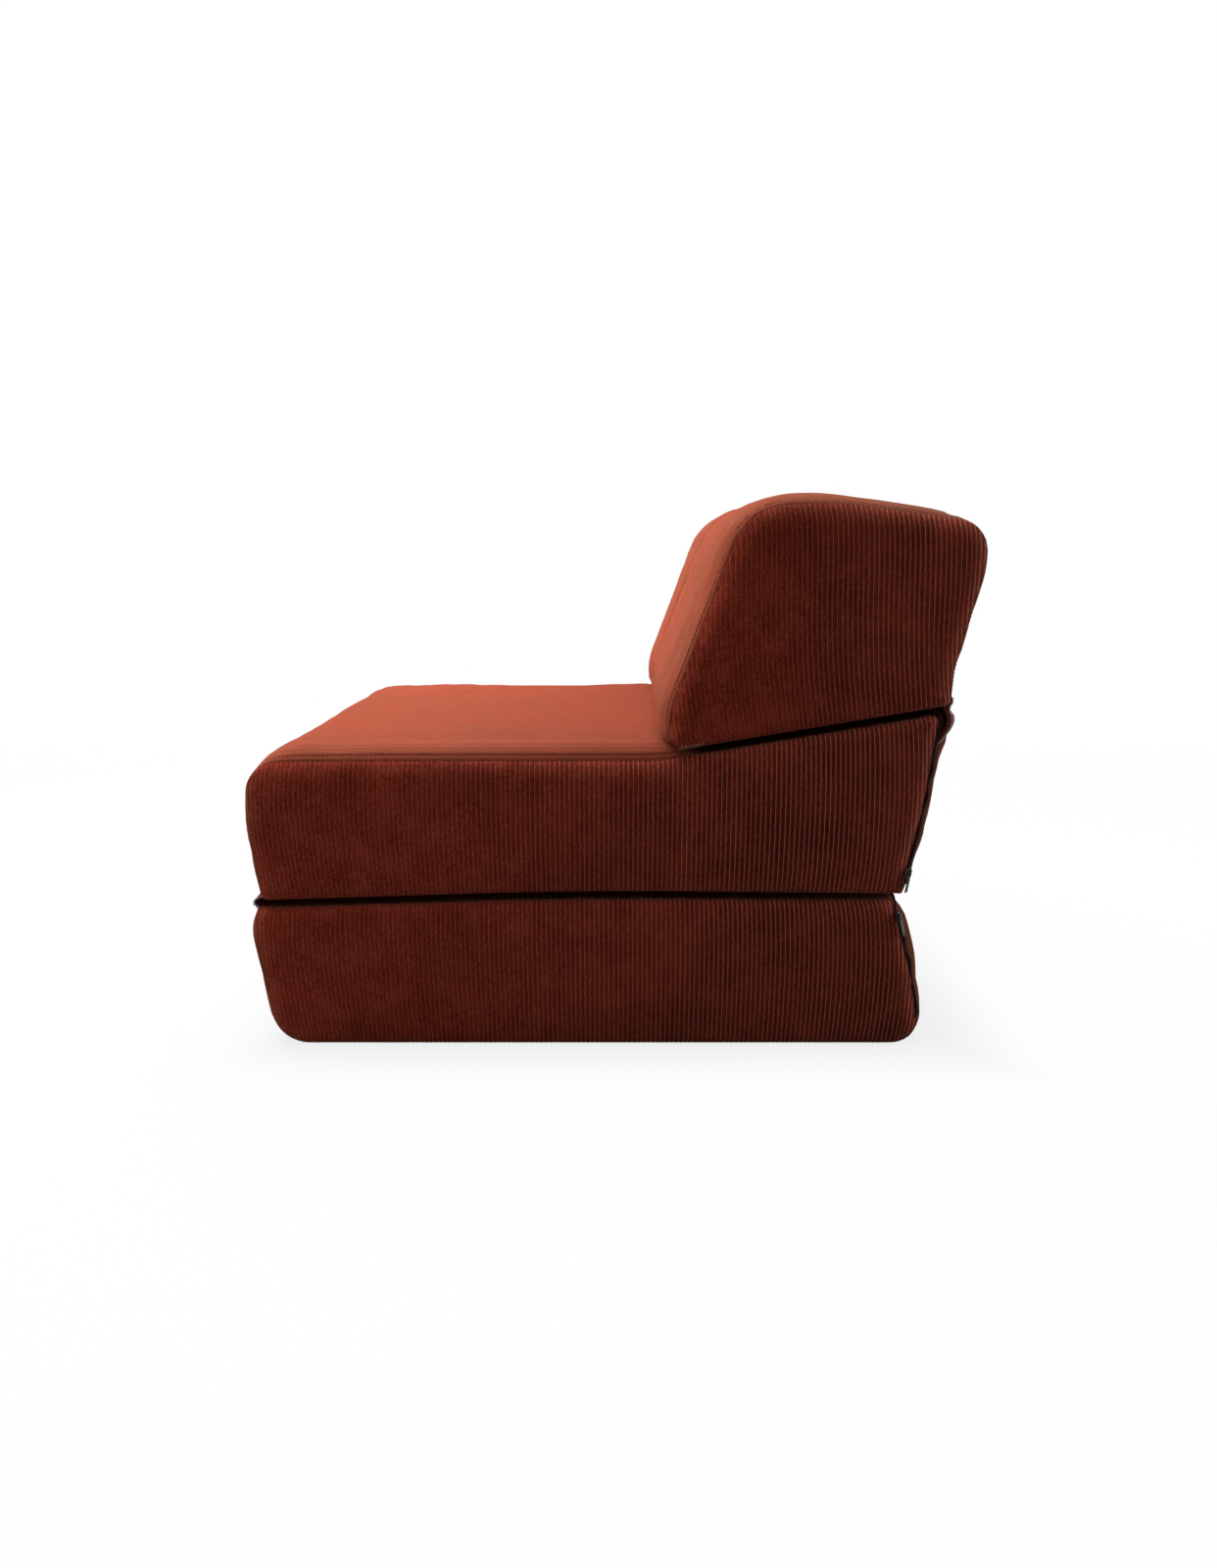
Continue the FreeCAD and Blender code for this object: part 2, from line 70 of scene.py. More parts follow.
# Corduroy: where the mesh has its lines on each rib, and how high the cloth is there.
RIB_PITCH = 6.35
SIDE_RIB_DEPTH = 0.9
WRAP_RIB_DEPTH = 0.45
RIB_PLACES = (0.0, 0.22, 0.5, 0.78)
RIB_HEIGHTS = (-1.0, -0.18, 0.0, -0.18)
OUTER_LINE_MARGIN = 0.4
OUTER_LINE_HEIGHT = -0.6

# How far each face stands out from its side seams at the shoulder, and further at the centre,
# how quickly it gets there (high for a plump shoulder, near 1 for a flat slope), and how much
# plumper it is towards the right side, where the bolster has settled against that end.
FACES = {
    "base_front": (8.5, 1.5, 2.2, 0.0),
    "base_rear_foot": (11.0, 2.0, 2.2, 0.0),
    "base_rear": (15.0, 3.0, 2.4, 0.0),
    "seat_front": (5.0, 1.5, 2.2, 0.0),
    "seat_front_foot": (8.5, 1.5, 2.2, 0.0),
    "seat_rear_foot": (13.0, 2.0, 2.4, 0.0),
    "seat_rear": (17.0, 3.0, 2.6, 0.0),
    "seat_rear_top": (25.0, 3.0, 3.0, 0.0),
    "seat_brow": (21.0, 3.5, 2.6, 0.0),
    "seat": (23.0, 4.0, 2.6, 0.0),
    "back": (3.5, 2.0, 2.2, 11.0),
    "nape": (8.5, 0.5, 2.0, 0.0),
    "top": (9.0, 3.5, 2.4, 0.0),
    "top_front": (11.0, 3.5, 2.4, 0.0),
    "pressed": (-6.0, 10.0, 2.0, 0.0),
    "floor": (0.8, 0.0, 2.0, 0.0),
}

# Side outlines, as corners (y, z, rounding radius) and the face that follows each corner.
OUTLINES = {
    "base": [
        (424.0, 0.8, 32.0, "base_rear_foot"), (404.5, 105.0, 180.0, "base_rear"),
        (375.5, 203.0, 8.0, "pressed"), (-40.0, 206.0, 7000.0, "pressed"),
        (-465.5, 192.6, 10.0, "base_front"), (-472.5, 155.0, 80.0, "base_front"),
        (-447.0, 0.8, 45.0, "floor"),
    ],
    "seat": [
        (388.0, 211.8, 3.0, "seat_rear_foot"), (396.0, 264.0, 500.0, "seat_rear"),
        (409.0, 325.0, 500.0, "seat_rear"), (419.0, 410.0, 400.0, "seat_rear_top"),
        (424.5, 450.6, 8.0, "pressed"), (108.0, 398.0, 200.0, "seat"),
        (66.0, 390.4, 200.0, "seat"),
        (-325.0, 390.2, 3000.0, "seat_brow"), (-470.5, 389.0, 44.0, "seat_front"),
        (-471.5, 310.0, 200.0, "seat_front_foot"), (-459.0, 202.6, 9.0, "pressed"),
        (-40.0, 216.4, 7000.0, "pressed"),
    ],
    "back": [
        (436.5, 462.2, 10.0, "nape"), (436.5, 505.0, 120.0, "nape"), (468.0, 630.0, 150.0, "nape"),
        (473.0, 688.5, 41.0, "top"), (275.0, 714.5, 400.0, "top_front"), (172.0, 708.5, 70.0, "back"),
        (80.5, 462.0, 150.0, "back"), (74.5, 401.6, 22.0, "pressed"),
    ],
}

# Edges where the foam's own corner holds the cover in: (y, z, reach, share of swelling lost).
HELD_EDGES = {
    "base": [],
    "seat": [(-466.0, 380.0, 36.0, 0.95)],
    "back": [(458.0, 694.0, 44.0, 0.9)],
}

# How the ribs on the side panels lean: at each height, how far they lie from upright near the
# front edge and near the rear edge, because the cloth is drawn round the foam there.
RIB_LEANS = {
    "base": [(0, 17, -10), (50, 9, -3), (110, 1, 0), (165, 0, -4), (206, 7, -14)],
    "seat": [(205, 13, -10), (250, 6, -3), (310, 0, 0), (370, 1, -2), (410, 9, -5), (452, 14, -10)],
    "back": [(400, 19, 21), (450, 12, 12), (490, 5, 5), (560, 0, 0), (640, -2, -3), (716, -7, -9)],
}
LEAN_REACH = 150.0

# Zips: how far along the rear seam they start and where they cross the top of the rear flap.
ARCHED_ZIPS = {"base": (43.0, 204.0), "seat": (14.0, 231.0)}
ZIP_TURN = 13.0
ZIP_INSET = 0.8
BACK_ZIP_HEIGHT = 478.0
BACK_ZIP_REACH = 300.0
TAPE_STEP = 6.0
TAPE_LIFT = 0.2
TAPE_SECTION = ((-3.4, -0.8), (-1.8, 0.2), (1.8, 0.2), (3.4, -0.8), (3.2, -1.8), (-3.2, -1.8))
TOOTH_PITCH = 2.0
TOOTH_LIFT = 1.15
TOOTH_SIZE = (3.8, 0.85, 1.0)

# Seam stitches, and the pale tack at the bolster's front bottom corners: its rows, as how far each
# lies inwards and how far it stands out of the seam.
STITCH_PITCH = 5.2
STITCH_INSET = 5.0
STITCH_SINK = 0.15
STITCH_SIZE = (3.9, 0.55, 0.5)
TACK_START = (90.0, 403.8)
TACK_SLOPE = math.radians(9.5)
TACK_ROWS = ((2.0, 5.9), (5.4, 9.9))
TACK_STITCHES = 7
TACK_PITCH = 4.4
TACK_SIZE = (3.0, 0.5, 0.6)

# Cloth hinges.
HINGE_REACH = 338.0
HINGE_STEPS = 90
HINGE_HALF_THICKNESS = 0.9
HINGE_WAVER = 0.5
HINGE_WAVER_WAVE = 90.0
HINGE_BULGE_SHARE = 0.4
FRAY_THREADS = 70
FRAY_LENGTHS = (1.6, 5.0)

# The bolster's front face ends at FRONT_END and begins above FRONT_FOOT. It has one long crease
# with a raised lip beside it, and a faint second one.
FRONT_END = 330.0
FRONT_FOOT = 470.0
FRONT_FADE = 90.0
CREASE_X = -115.0
CREASE_DEPTH = 6.0
CREASE_WIDTH = 9.0
CREASE_SHADE = 0.6
CREASE_SHADE_WIDTH = 8.0
LIP_X = CREASE_X - 28
LIP_HEIGHT = 2.4
LIP_WIDTH = 16.0
FAINT_CREASE_X = 60.0
FAINT_CREASE_DEPTH = 1.6

# The bolster has settled against its right end, over this stretch of its width.
SETTLED_FROM = -140.0
SETTLED_STRETCH = 440.0

# Puckers along the seams: heights, how far they reach from the seam, and how close they lie. Those
# of the bolster are about a height, within a reach of it, and end before a place from front to rear.
WRAP_CORNER = (650.0, 70.0, 260.0)
SIDE_CORNER = (660.0, 55.0, 250.0)
REAR_START = 330.0
PUCKER_FADE = 60.0
PUCKER_REACH = 12.0
CORNER_PUCKER_HEIGHT = 0.9
CORNER_PUCKER_STEP = 1.3
REAR_PUCKER_HEIGHT = 1.1
REAR_PUCKER_STEP = 9.0
SIDE_PUCKER_HEIGHT = 1.2
SIDE_PUCKER_REACH = 7.0
SIDE_PUCKER_STEP = 1.5

# Unevenness of the foam: wavelengths, heights for them on the wraps and the side panels, and how
# far from a seam it is whole. Faces that hardly swell have none on their wraps.
SLOW_WAVE = 260.0
QUICK_WAVE = 70.0
WRAP_UNEVENNESS = (0.9, 0.25)
SIDE_UNEVENNESS = (1.1, 0.3)
WRAP_UNEVEN_REACH = 60.0
SIDE_UNEVEN_REACH = 50.0

# Spacing of the mesh: round the outline, between two lines on a curve in radians, along the edge
# that the side panels are fitted to, up a side panel, and across on the mesh that is simulated.
LINE_SPACING = 16.5
CURVE_STEP = 0.16
EDGE_SPACING = 1.5
SIDE_ROWS = 18
COARSE_SPACING = 13.0

# The covers are blown up a little as cloth held at its seams, for their folds and dimples. The
# slow part of what this gives is left small, since the outlines have the swelling already.
CLOTH_FRAMES = 20
CLOTH_PINNED = 4.0
CLOTH_SETTINGS = {
    "quality": 5, "mass": 0.4, "air_damping": 4.0, "tension_stiffness": 18.0,
    "compression_stiffness": 18.0, "shear_stiffness": 6.0, "bending_stiffness": 0.6,
    "vertex_group_mass": "seams", "pin_stiffness": 2.0, "shrink_min": -0.012,
    "use_pressure": True, "uniform_pressure_force": 4.0,
}
SLOW_CELLS = 6
SLOW_BULGE_SHARE = 0.12
FOLD_LIMIT = 2.6
FOLD_SHARE = 0.6
SIDE_FOLD_SHARE = 0.4


# Outlines.

def trace(corners, spacing):
    """Points round an outline, their outward normals, faces' swelling, and length run so far."""
    points, normals, swells = [], [], []
    count = len(corners)
    places = [np.array(corner[:2]) for corner in corners]
    arcs = []
    for i, (_, _, radius, _) in enumerate(corners):
        before = places[i] - places[i - 1]
        after = places[(i + 1) % count] - places[i]
        before, after = before / np.linalg.norm(before), after / np.linalg.norm(after)
        turn = math.atan2(before[0] * after[1] - before[1] * after[0], before @ after)
        reach = abs(radius * math.tan(turn / 2))
        side = 1 if turn > 0 else -1
        start = places[i] - before * reach
        centre = start + side * radius * np.array([-before[1], before[0]])
        arcs.append((start, places[i] + after * reach, centre, radius, side, turn, before))
    for i, (start, end, centre, radius, side, turn, before) in enumerate(arcs):
        swell_in = np.array(FACES[corners[i - 1][3]])
        swell_out = np.array(FACES[corners[i][3]])
        steps = max(2, int(math.ceil(abs(turn) / CURVE_STEP)),
                    int(math.ceil(radius * abs(turn) / spacing)))
        for k in range(steps + 1):
            share = k / steps
            spin = turn * share
            out = np.array([before[1], -before[0]])
            out = np.array([out[0] * math.cos(spin) - out[1] * math.sin(spin),
                            out[0] * math.sin(spin) + out[1] * math.cos(spin)])
            points.append(centre + out * radius * side)
            normals.append(out)
            swells.append(swell_in * (1 - share) + swell_out * share)
        following = arcs[(i + 1) % count][0]
        length = np.linalg.norm(following - end)
        steps = max(1, int(math.ceil(length / spacing)))
        along = (following - end) / max(length, 1e-9)
        for k in range(1, steps):
            points.append(end + (following - end) * k / steps)
            normals.append(np.array([along[1], -along[0]]))
            swells.append(swell_out)
    points, normals, swells = np.array(points), np.array(normals), np.array(swells)
    gaps = np.linalg.norm(np.roll(points, -1, axis=0) - points, axis=1)
    run = np.concatenate([[0.0], np.cumsum(gaps)])
    return points, normals, swells, run[:-1], run[-1]


def smooth_round(values, run, total, reach):
    """Values round a closed outline, averaged over a bell curve of that reach."""
    apart = np.abs(run[:, None] - run[None, :])
    apart = np.minimum(apart, total - apart)
    share = (np.roll(run, -1) - np.roll(run, 1)) % total
    weight = np.exp(-(apart / reach) ** 2) * share[None, :]
    return (weight @ values) / weight.sum(axis=1, keepdims=True)


class Ripple:
    """A soft, fixed unevenness: a sum of waves in many directions."""

    def __init__(self, seed, wavelength, count=14):
        draw = np.random.default_rng(seed)
        ways = draw.normal(size=(count, 3))
        ways /= np.linalg.norm(ways, axis=1, keepdims=True)
        self.waves = ways * (2 * math.pi / (wavelength * draw.uniform(0.7, 1.6, size=(count, 1))))
        self.starts = draw.uniform(0, 2 * math.pi, size=count)
        self.scale = 1 / math.sqrt(count / 2)

    def at(self, places):
        """Its height at points, mostly between -2 and 2."""
        return np.sin(places @ self.waves.T + self.starts).sum(axis=-1) * self.scale


def ease(value):
    """0 below 0, 1 above 1, and a smooth rise between."""
    value = np.clip(value, 0, 1)
    return value * value * (3 - 2 * value)


def bell(value, middle, width):
    """1 at the middle, falling to nearly 0 within two widths."""
    return np.exp(-((value - middle) / width) ** 2)


# Cushions: a ribbed wrap round the outline and two ribbed side panels, in one closed mesh.

def bolster_front(y, z):
    """1 on the bolster's front face, and 0 behind its crown and at its foot."""
    return ease((FRONT_END - y) / FRONT_FADE) * ease((z - FRONT_FOOT) / FRONT_FADE)


class Cushion:
    """One foam block in its cover, with its swelling, creases and ribs."""

    def __init__(self, name, seed):
        self.name = name
        self.points, self.normals, swells, self.run, self.total = trace(OUTLINES[name], LINE_SPACING)
        self.swells = smooth_round(swells, self.run, self.total, FACE_REACH)
        self.edge, _, edge_swells, self.edge_run, _ = trace(OUTLINES[name], EDGE_SPACING)
        pressed = (edge_swells[:, :1] < PRESSED_BELOW).astype(float)
        pressed = smooth_round(pressed, self.edge_run, self.total, PRESSED_REACH)[:, 0]
        self.edge_rounding = SIDE_ROUNDING + (PRESSED_ROUNDING - SIDE_ROUNDING) * pressed
        self.slow = Ripple(seed, SLOW_WAVE)
        self.quick = Ripple(seed + 1, QUICK_WAVE)

    def unevenness(self, places, heights):
        """The slow and the quick ripple at points, each at its own height."""
        return heights[0] * self.slow.at(places) + heights[1] * self.quick.at(places)

    def wrap(self, run_places, across):
        """Points on the smooth wrap, at lengths round the outline and places across."""
        def pick(values):
            wrapped = np.append(values, values[0])
            return np.interp(run_places % self.total, np.append(self.run, self.total), wrapped)
        base_y, base_z = pick(self.points[:, 0]), pick(self.points[:, 1])
        out_y, out_z = pick(self.normals[:, 0]), pick(self.normals[:, 1])
        length = np.hypot(out_y, out_z)
        out_y, out_z = out_y / length, out_z / length
        draw, crown, power, settled = (pick(self.swells[:, k]) for k in range(4))
        draw = draw + settled * ease((across - SETTLED_FROM) / SETTLED_STRETCH)
        inward = np.clip((SEAM_X - np.abs(across)) / SHOULDER, 0, 1)
        lift = draw * (1 - (1 - inward) ** power) + crown * (1 - (across / SEAM_X) ** 2)
        spots = np.stack([across + 0 * base_y, base_y, base_z], axis=-1)
        free = np.clip((draw - 2.7) / 3, 0, 1) * ease((SEAM_X - np.abs(across)) / WRAP_UNEVEN_REACH)
        lift = lift + free * self.unevenness(spots, WRAP_UNEVENNESS)
        for edge_y, edge_z, reach, share in HELD_EDGES[self.name]:
            apart = (base_y - edge_y) ** 2 + (base_z - edge_z) ** 2
            lift = lift * (1 - share * np.exp(-apart / reach ** 2))
        lift = lift + self.folds(run_places, across, base_y, base_z, draw)
        return np.stack([across + 0 * base_y, base_y + out_y * lift, base_z + out_z * lift], axis=-1)

    def folds(self, run_places, across, base_y, base_z, draw):
        """Creases and puckers that the cover has in particular places."""
        near_seam = np.exp(-(SEAM_X - np.abs(across)) / PUCKER_REACH)
        if self.name == "back":
            crease = (-CREASE_DEPTH * bell(across, CREASE_X, CREASE_WIDTH)
                      + LIP_HEIGHT * bell(across, LIP_X, LIP_WIDTH))
            faint = -FAINT_CREASE_DEPTH * bell(across, FAINT_CREASE_X, CREASE_WIDTH)
            height, reach, end = WRAP_CORNER
            corner = bell(base_z, height, reach) * (base_y < end)
            waves = np.sin(run_places / CORNER_PUCKER_STEP)
            pucker = CORNER_PUCKER_HEIGHT * near_seam * waves * corner
            return bolster_front(base_y, base_z) * (crease + faint) + pucker
        rear = ease((base_y - REAR_START) / PUCKER_FADE) * np.clip((draw - 5) / 8, 0, 1)
        waves = np.sin(run_places / REAR_PUCKER_STEP + 1.7 * np.sin(run_places / 23.0))
        return rear * near_seam * REAR_PUCKER_HEIGHT * waves

    def lean(self, place, height):
        """How far a rib on the side panel lies from upright."""
        heights, front, rear = (np.array(column, float) for column in zip(*RIB_LEANS[self.name]))
        low, high = self.edge[:, 0].min(), self.edge[:, 0].max()
        middle, half = heights.mean(), np.ptp(heights) / 2
        level = (height - middle) / half
        front_lean, rear_lean = (
            np.polyval(np.polyfit((heights - middle) / half, leans, 4), level) for leans in (front, rear))
        if self.name == "back":
            share = (place - low) / (high - low)
            return front_lean * (1 - share) + rear_lean * share
        near_front = np.exp(-np.clip(place - low, 0, None) / LEAN_REACH)
        near_rear = np.exp(-np.clip(high - place, 0, None) / LEAN_REACH)
        return front_lean * near_front + rear_lean * near_rear

    def side_lines(self, pitch, rib_places, rib_heights):
        """The lines of a side panel: their places, the rib's height, and both ends on the outline."""
        ribs = self.edge[:, 0].copy()
        for _ in range(12):
            ribs = self.edge[:, 0] - self.lean(ribs, self.edge[:, 1])
        first, last = int(np.argmin(ribs)), int(np.argmax(ribs))
        count = len(ribs)
        below = np.array([(first + k) % count for k in range((last - first) % count + 1)])
        above = np.array([(last + k) % count for k in range((first - last) % count + 1)])[::-1]
        whole = np.arange(math.ceil(ribs.min() / pitch) - 1, math.floor(ribs.max() / pitch) + 2)
        places = np.array([(rib + place) * pitch for rib in whole for place in rib_places])
        relief = np.array([height for _ in whole for height in rib_heights])
        inside = (places > ribs.min() + 0.3) & (places < ribs.max() - 0.3)
        places, relief = places[inside], relief[inside]
        ends = []
        for branch in (below, above):
            level = np.maximum.accumulate(ribs[branch])
            ends.append((
                np.interp(places, level, self.edge[branch, 0]),
                np.interp(places, level, self.edge[branch, 1]),
                self.run_of(level, branch, places)))
        return places, relief, ends[0], ends[1]

    def run_of(self, level, branch, places):
        """Length round the outline at each place, on one branch of it, unbroken at the start."""
        runs = self.edge_run[branch].astype(float)
        steps = np.diff(runs)
        past_start = np.where(steps < -self.total / 2, self.total, 0)
        before_start = np.where(steps > self.total / 2, self.total, 0)
        runs[1:] += np.cumsum(past_start - before_start)
        return np.interp(places, level, runs) % self.total

    def nearest_edge(self, y, z):
        """Distance of each point of a grid from the outline, and the edge's rounding there."""
        flat = np.stack([y.ravel(), z.ravel()], axis=1)
        inward, rounding = np.empty(len(flat)), np.empty(len(flat))
        for start in range(0, len(flat), 4000):
            part = slice(start, start + 4000)
            apart = ((flat[part, None, :] - self.edge[None, ::2, :]) ** 2).sum(axis=2)
            inward[part] = np.sqrt(apart.min(axis=1))
            rounding[part] = self.edge_rounding[::2][apart.argmin(axis=1)]
        return inward.reshape(y.shape), rounding.reshape(y.shape)

    def side_panel(self, side, *ribbing):
        """Grid of points on one side panel, ribbed, with its ends on the seam."""
        places, relief, below, above = self.side_lines(*ribbing)
        share = 0.5 - 0.5 * np.cos(np.pi * np.arange(SIDE_ROWS + 1) / SIDE_ROWS)
        z = below[1][:, None] + (above[1] - below[1])[:, None] * share[None, :]
        y = places[:, None] + self.lean(places[:, None] + 0 * z, z)
        y[:, 0], y[:, -1] = below[0], above[0]
        inward, rounding = self.nearest_edge(y, z)
        inward[:, 0] = inward[:, -1] = 0
        rise = SIDE_SWELL * (1 - (1 - np.clip(inward / rounding, 0, 1)) ** 2)
        spots = np.stack([np.full_like(y, side * SEAM_X), y, z], axis=-1)
        rise += ease(inward / SIDE_UNEVEN_REACH) * self.unevenness(spots, SIDE_UNEVENNESS)
        rise += self.side_puckers(inward, y, z)
        rise += SIDE_RIB_DEPTH * relief[:, None] * ease(inward / 3.0)
        x = side * (SEAM_X + rise)
        x[:, 0] = x[:, -1] = side * SEAM_X
        return np.stack([x, y, z], axis=-1), inward, places, below[2], above[2]

    def side_puckers(self, inward, y, z):
        """Small puckers along the bolster's front top corner."""
        if self.name != "back":
            return 0
        height, reach, end = SIDE_CORNER
        corner = bell(z, height, reach) * ease((end - y) / PUCKER_FADE)
        near = np.exp(-inward / SIDE_PUCKER_REACH) * ease(inward / 1.5)
        return SIDE_PUCKER_HEIGHT * near * corner * np.sin((y + z) / SIDE_PUCKER_STEP)

    def wrap_lines(self, pitch, rib_places, rib_heights):
        """Places across the wrap of its lines, and the rib's height at each."""
        ribs = int(SEAM_X // pitch)
        across = [(rib + place) * pitch for rib in range(-ribs, ribs) for place in rib_places]
        relief = [height for _ in range(-ribs, ribs) for height in rib_heights]
        outer = SEAM_X - (SEAM_X - ribs * pitch) * OUTER_LINE_MARGIN
        return (np.array([-outer] + across + [outer]),
                np.array([OUTER_LINE_HEIGHT] + relief + [OUTER_LINE_HEIGHT]))

    def ribbed_wrap(self, rows, columns, relief, shifts):
        """Grid of points on the wrap with its ribs, at lengths round it and places across it."""
        smooth = self.wrap(rows, columns) + shifts
        along = np.roll(smooth, -1, axis=0) - np.roll(smooth, 1, axis=0)
        over = np.gradient(smooth, axis=1)
        out = np.cross(along, over)
        out /= np.linalg.norm(out, axis=2, keepdims=True)
        free = 0.25 + 0.75 * ease((SEAM_X - np.abs(columns) - 10) / 40)
        depth = WRAP_RIB_DEPTH * relief[None, :] * free
        return smooth + out * depth[..., None]

    def painted_shade_share(self, across):
        """How much painted shade the wrap gets: 1 between two blocks, less in the bolster's long crease.
        """
        pressed = np.clip(-self.swells[:, 0] / 4, 0, 1)
        share = np.repeat(pressed[:, None], len(across), axis=1)
        if self.name == "back":
            front = bolster_front(self.points[:, 0], self.points[:, 1])[:, None]
            crease = bell(across, CREASE_X, CREASE_SHADE_WIDTH)[None, :]
            share = np.maximum(share, CREASE_SHADE * front * crease)
        return share

    def build(self, ribbing, folds=None):
        """The closed cushion: points, faces, rib coordinates, what the cloth's material needs at
        each point, and the grids of points. The ribbing is the ribs' pitch, the places of the
        lines on a rib and their heights. Folds are shifts found on a coarser mesh."""
        across, relief = self.wrap_lines(*ribbing)
        rows, columns = np.meshgrid(self.run, across, indexing="ij")
        shifts = spread_folds(folds["wrap"], across) if folds else 0
        body = self.ribbed_wrap(rows, columns, relief, shifts)
        lines, width = body.shape[:2]
        number = np.arange(lines * width).reshape(lines, width)
        grids = {"wrap": (body, across)}
        points = [body.reshape(-1, 3)]
        coordinates = [np.stack([columns / RIB_PITCH, rows / RIB_PITCH], axis=-1).reshape(-1, 2)]
        seam_gaps = [(SEAM_X - np.abs(columns)).ravel()]
        quads = [grid_faces(number, np.roll(number, -1, axis=0))]
        triangles = []
        start = lines * width
        for side in (-1, 1):
            panel, gap, places, below, above = self.side_panel(side, *ribbing)
            panel[:, (0, -1), 0] -= side * SEAM_SINK
            if folds:
                panel = panel + spread_folds(folds[side], places).transpose(1, 0, 2)
            grids[side] = (panel.transpose(1, 0, 2), places)
            grid = start + np.arange(gap.size).reshape(gap.shape)
            start += gap.size
            points.append(panel.reshape(-1, 3))
            rib_run = np.stack([places[:, None] + 0 * gap, panel[..., 2]], axis=-1) / RIB_PITCH
            coordinates.append(rib_run.reshape(-1, 2))
            seam_gaps.append(gap.ravel())
            faces = grid_faces(grid[:-1], grid[1:])
            quads.append(faces if side > 0 else faces[:, ::-1])
            rim = np.concatenate([grid[:, 0], grid[::-1, -1]])
            rim_run = np.concatenate([below, above[::-1]])
            wrap_edge = number[:, -1] if side > 0 else number[:, 0]
            strip = join_loops(wrap_edge, self.run, rim, rim_run, self.total)
            triangles.append(strip if side > 0 else strip[:, ::-1])
            triangles.append(fan(grid[0], side < 0))
            triangles.append(fan(grid[-1], side > 0))
        # Painted shade on the wrap between two blocks and in the bolster's long crease.
        hidden = np.zeros(start)
        hidden[:lines * width] = self.painted_shade_share(across).ravel()
        surface = {"seam_gap": np.concatenate(seam_gaps), "on_wrap": np.arange(start) < lines * width,
                   "hidden": hidden}
        return (np.concatenate(points), [np.concatenate(quads), np.concatenate(triangles)],
                np.concatenate(coordinates), surface, grids)


def spread_folds(folds, places):
    """Shifts known at coarse places, brought to finer places along the second axis."""
    shifts, coarse_places = folds
    share = np.interp(places, coarse_places, np.arange(len(coarse_places)))
    low = np.minimum(share.astype(int), len(coarse_places) - 2)
    part = (share - low)[None, :, None]
    return shifts[:, low] * (1 - part) + shifts[:, low + 1] * part


def blur(values, reach, closed):
    """Averages over the first two axes of a grid, a bell of that many cells each way."""
    cells = np.arange(-3 * reach, 3 * reach + 1)
    weights = np.exp(-(cells / reach) ** 2)
    weights /= weights.sum()
    for axis in (0, 1):
        pad = [(0, 0)] * values.ndim
        pad[axis] = (3 * reach, 3 * reach)
        wide = np.pad(values, pad, mode="wrap" if closed and axis == 0 else "edge")
        size = values.shape[axis]
        values = sum(weight * np.take(wide, np.arange(size) + k, axis=axis)
                     for k, weight in enumerate(weights))
    return values


def blow_up(cover, pinned):
    """Where a cover's points lie once it is blown up as cloth with some of them pinned, in metres."""
    seams = cover.vertex_groups.new(name="seams")
    seams.add([int(i) for i in np.flatnonzero(pinned)], 1.0, "REPLACE")
    cloth = cover.modifiers.new("cloth", "CLOTH")
    for key, value in CLOTH_SETTINGS.items():
        setattr(cloth.settings, key, value)
    cloth.settings.effector_weights.gravity = 0.0
    cloth.collision_settings.use_collision = False
    cloth.point_cache.frame_start = 1
    cloth.point_cache.frame_end = CLOTH_FRAMES
    scene = bpy.context.scene
    for number in range(1, CLOTH_FRAMES + 1):
        scene.frame_set(number)
    blown = cover.evaluated_get(bpy.context.evaluated_depsgraph_get())
    places = np.empty(len(pinned) * 3, np.float32)
    blown.data.vertices.foreach_get("co", places)
    scene.frame_set(1)
    return places.reshape(-1, 3)


def cloth_folds(cushion):
    """Shifts of a coarse cover's points when it is blown up as cloth held along its seams."""
    points, faces, _, surface, grids = cushion.build((COARSE_SPACING, (0.0,), (0.0,)))
    gaps = surface["seam_gap"]
    cover = mesh_object("coarse_cover", points, faces)
    shifts = blow_up(cover, gaps < CLOTH_PINNED) / MM - points
    bpy.data.objects.remove(cover, do_unlink=True)
    folds, start = {}, 0
    for key in ("wrap", -1, 1):
        grid, across = grids[key]
        count = grid.shape[0] * grid.shape[1]
        shape = grid.shape if key == "wrap" else (grid.shape[1], grid.shape[0], 3)
        moved = shifts[start:start + count].reshape(shape)
        held = gaps[start:start + count].reshape(shape[:2])
        start += count
        slow = blur(moved, SLOW_CELLS, key == "wrap")
        moved = ((moved - slow) * FOLD_SHARE + slow * SLOW_BULGE_SHARE) * ease(held / 6.0)[..., None]
        length = np.linalg.norm(moved, axis=-1, keepdims=True)
        moved = moved * np.minimum(1, FOLD_LIMIT / np.maximum(length, 1e-6))
        folds[key] = (moved if key == "wrap" else moved.transpose(1, 0, 2) * SIDE_FOLD_SHARE, across)
    return folds


def join_loops(first, first_run, second, second_run, total):
    """Triangles between two closed loops of vertices, both in order of length run."""
    turn = int(np.argmin(second_run))
    second, second_run = np.roll(second, -turn), np.roll(second_run, -turn)
    faces = []
    i = j = 0
    n, m = len(first), len(second)
    runs_a = np.append(first_run, first_run[0] + total)
    runs_b = np.append(second_run, second_run[0] + total)
    while i < n or j < m:
        if j >= m or (i < n and runs_a[i + 1] <= runs_b[j + 1]):
            faces.append((first[i % n], first[(i + 1) % n], second[j % m]))
            i += 1
        else:
            faces.append((first[i % n], second[(j + 1) % m], second[j % m]))
            j += 1
    return np.array(faces)


def fan(line, flip):
    """Closes the thin gap at the first or last line of a side panel."""
    faces = np.array([(line[0], line[k], line[k + 1]) for k in range(1, len(line) - 1)])
    return faces[:, ::-1] if flip else faces


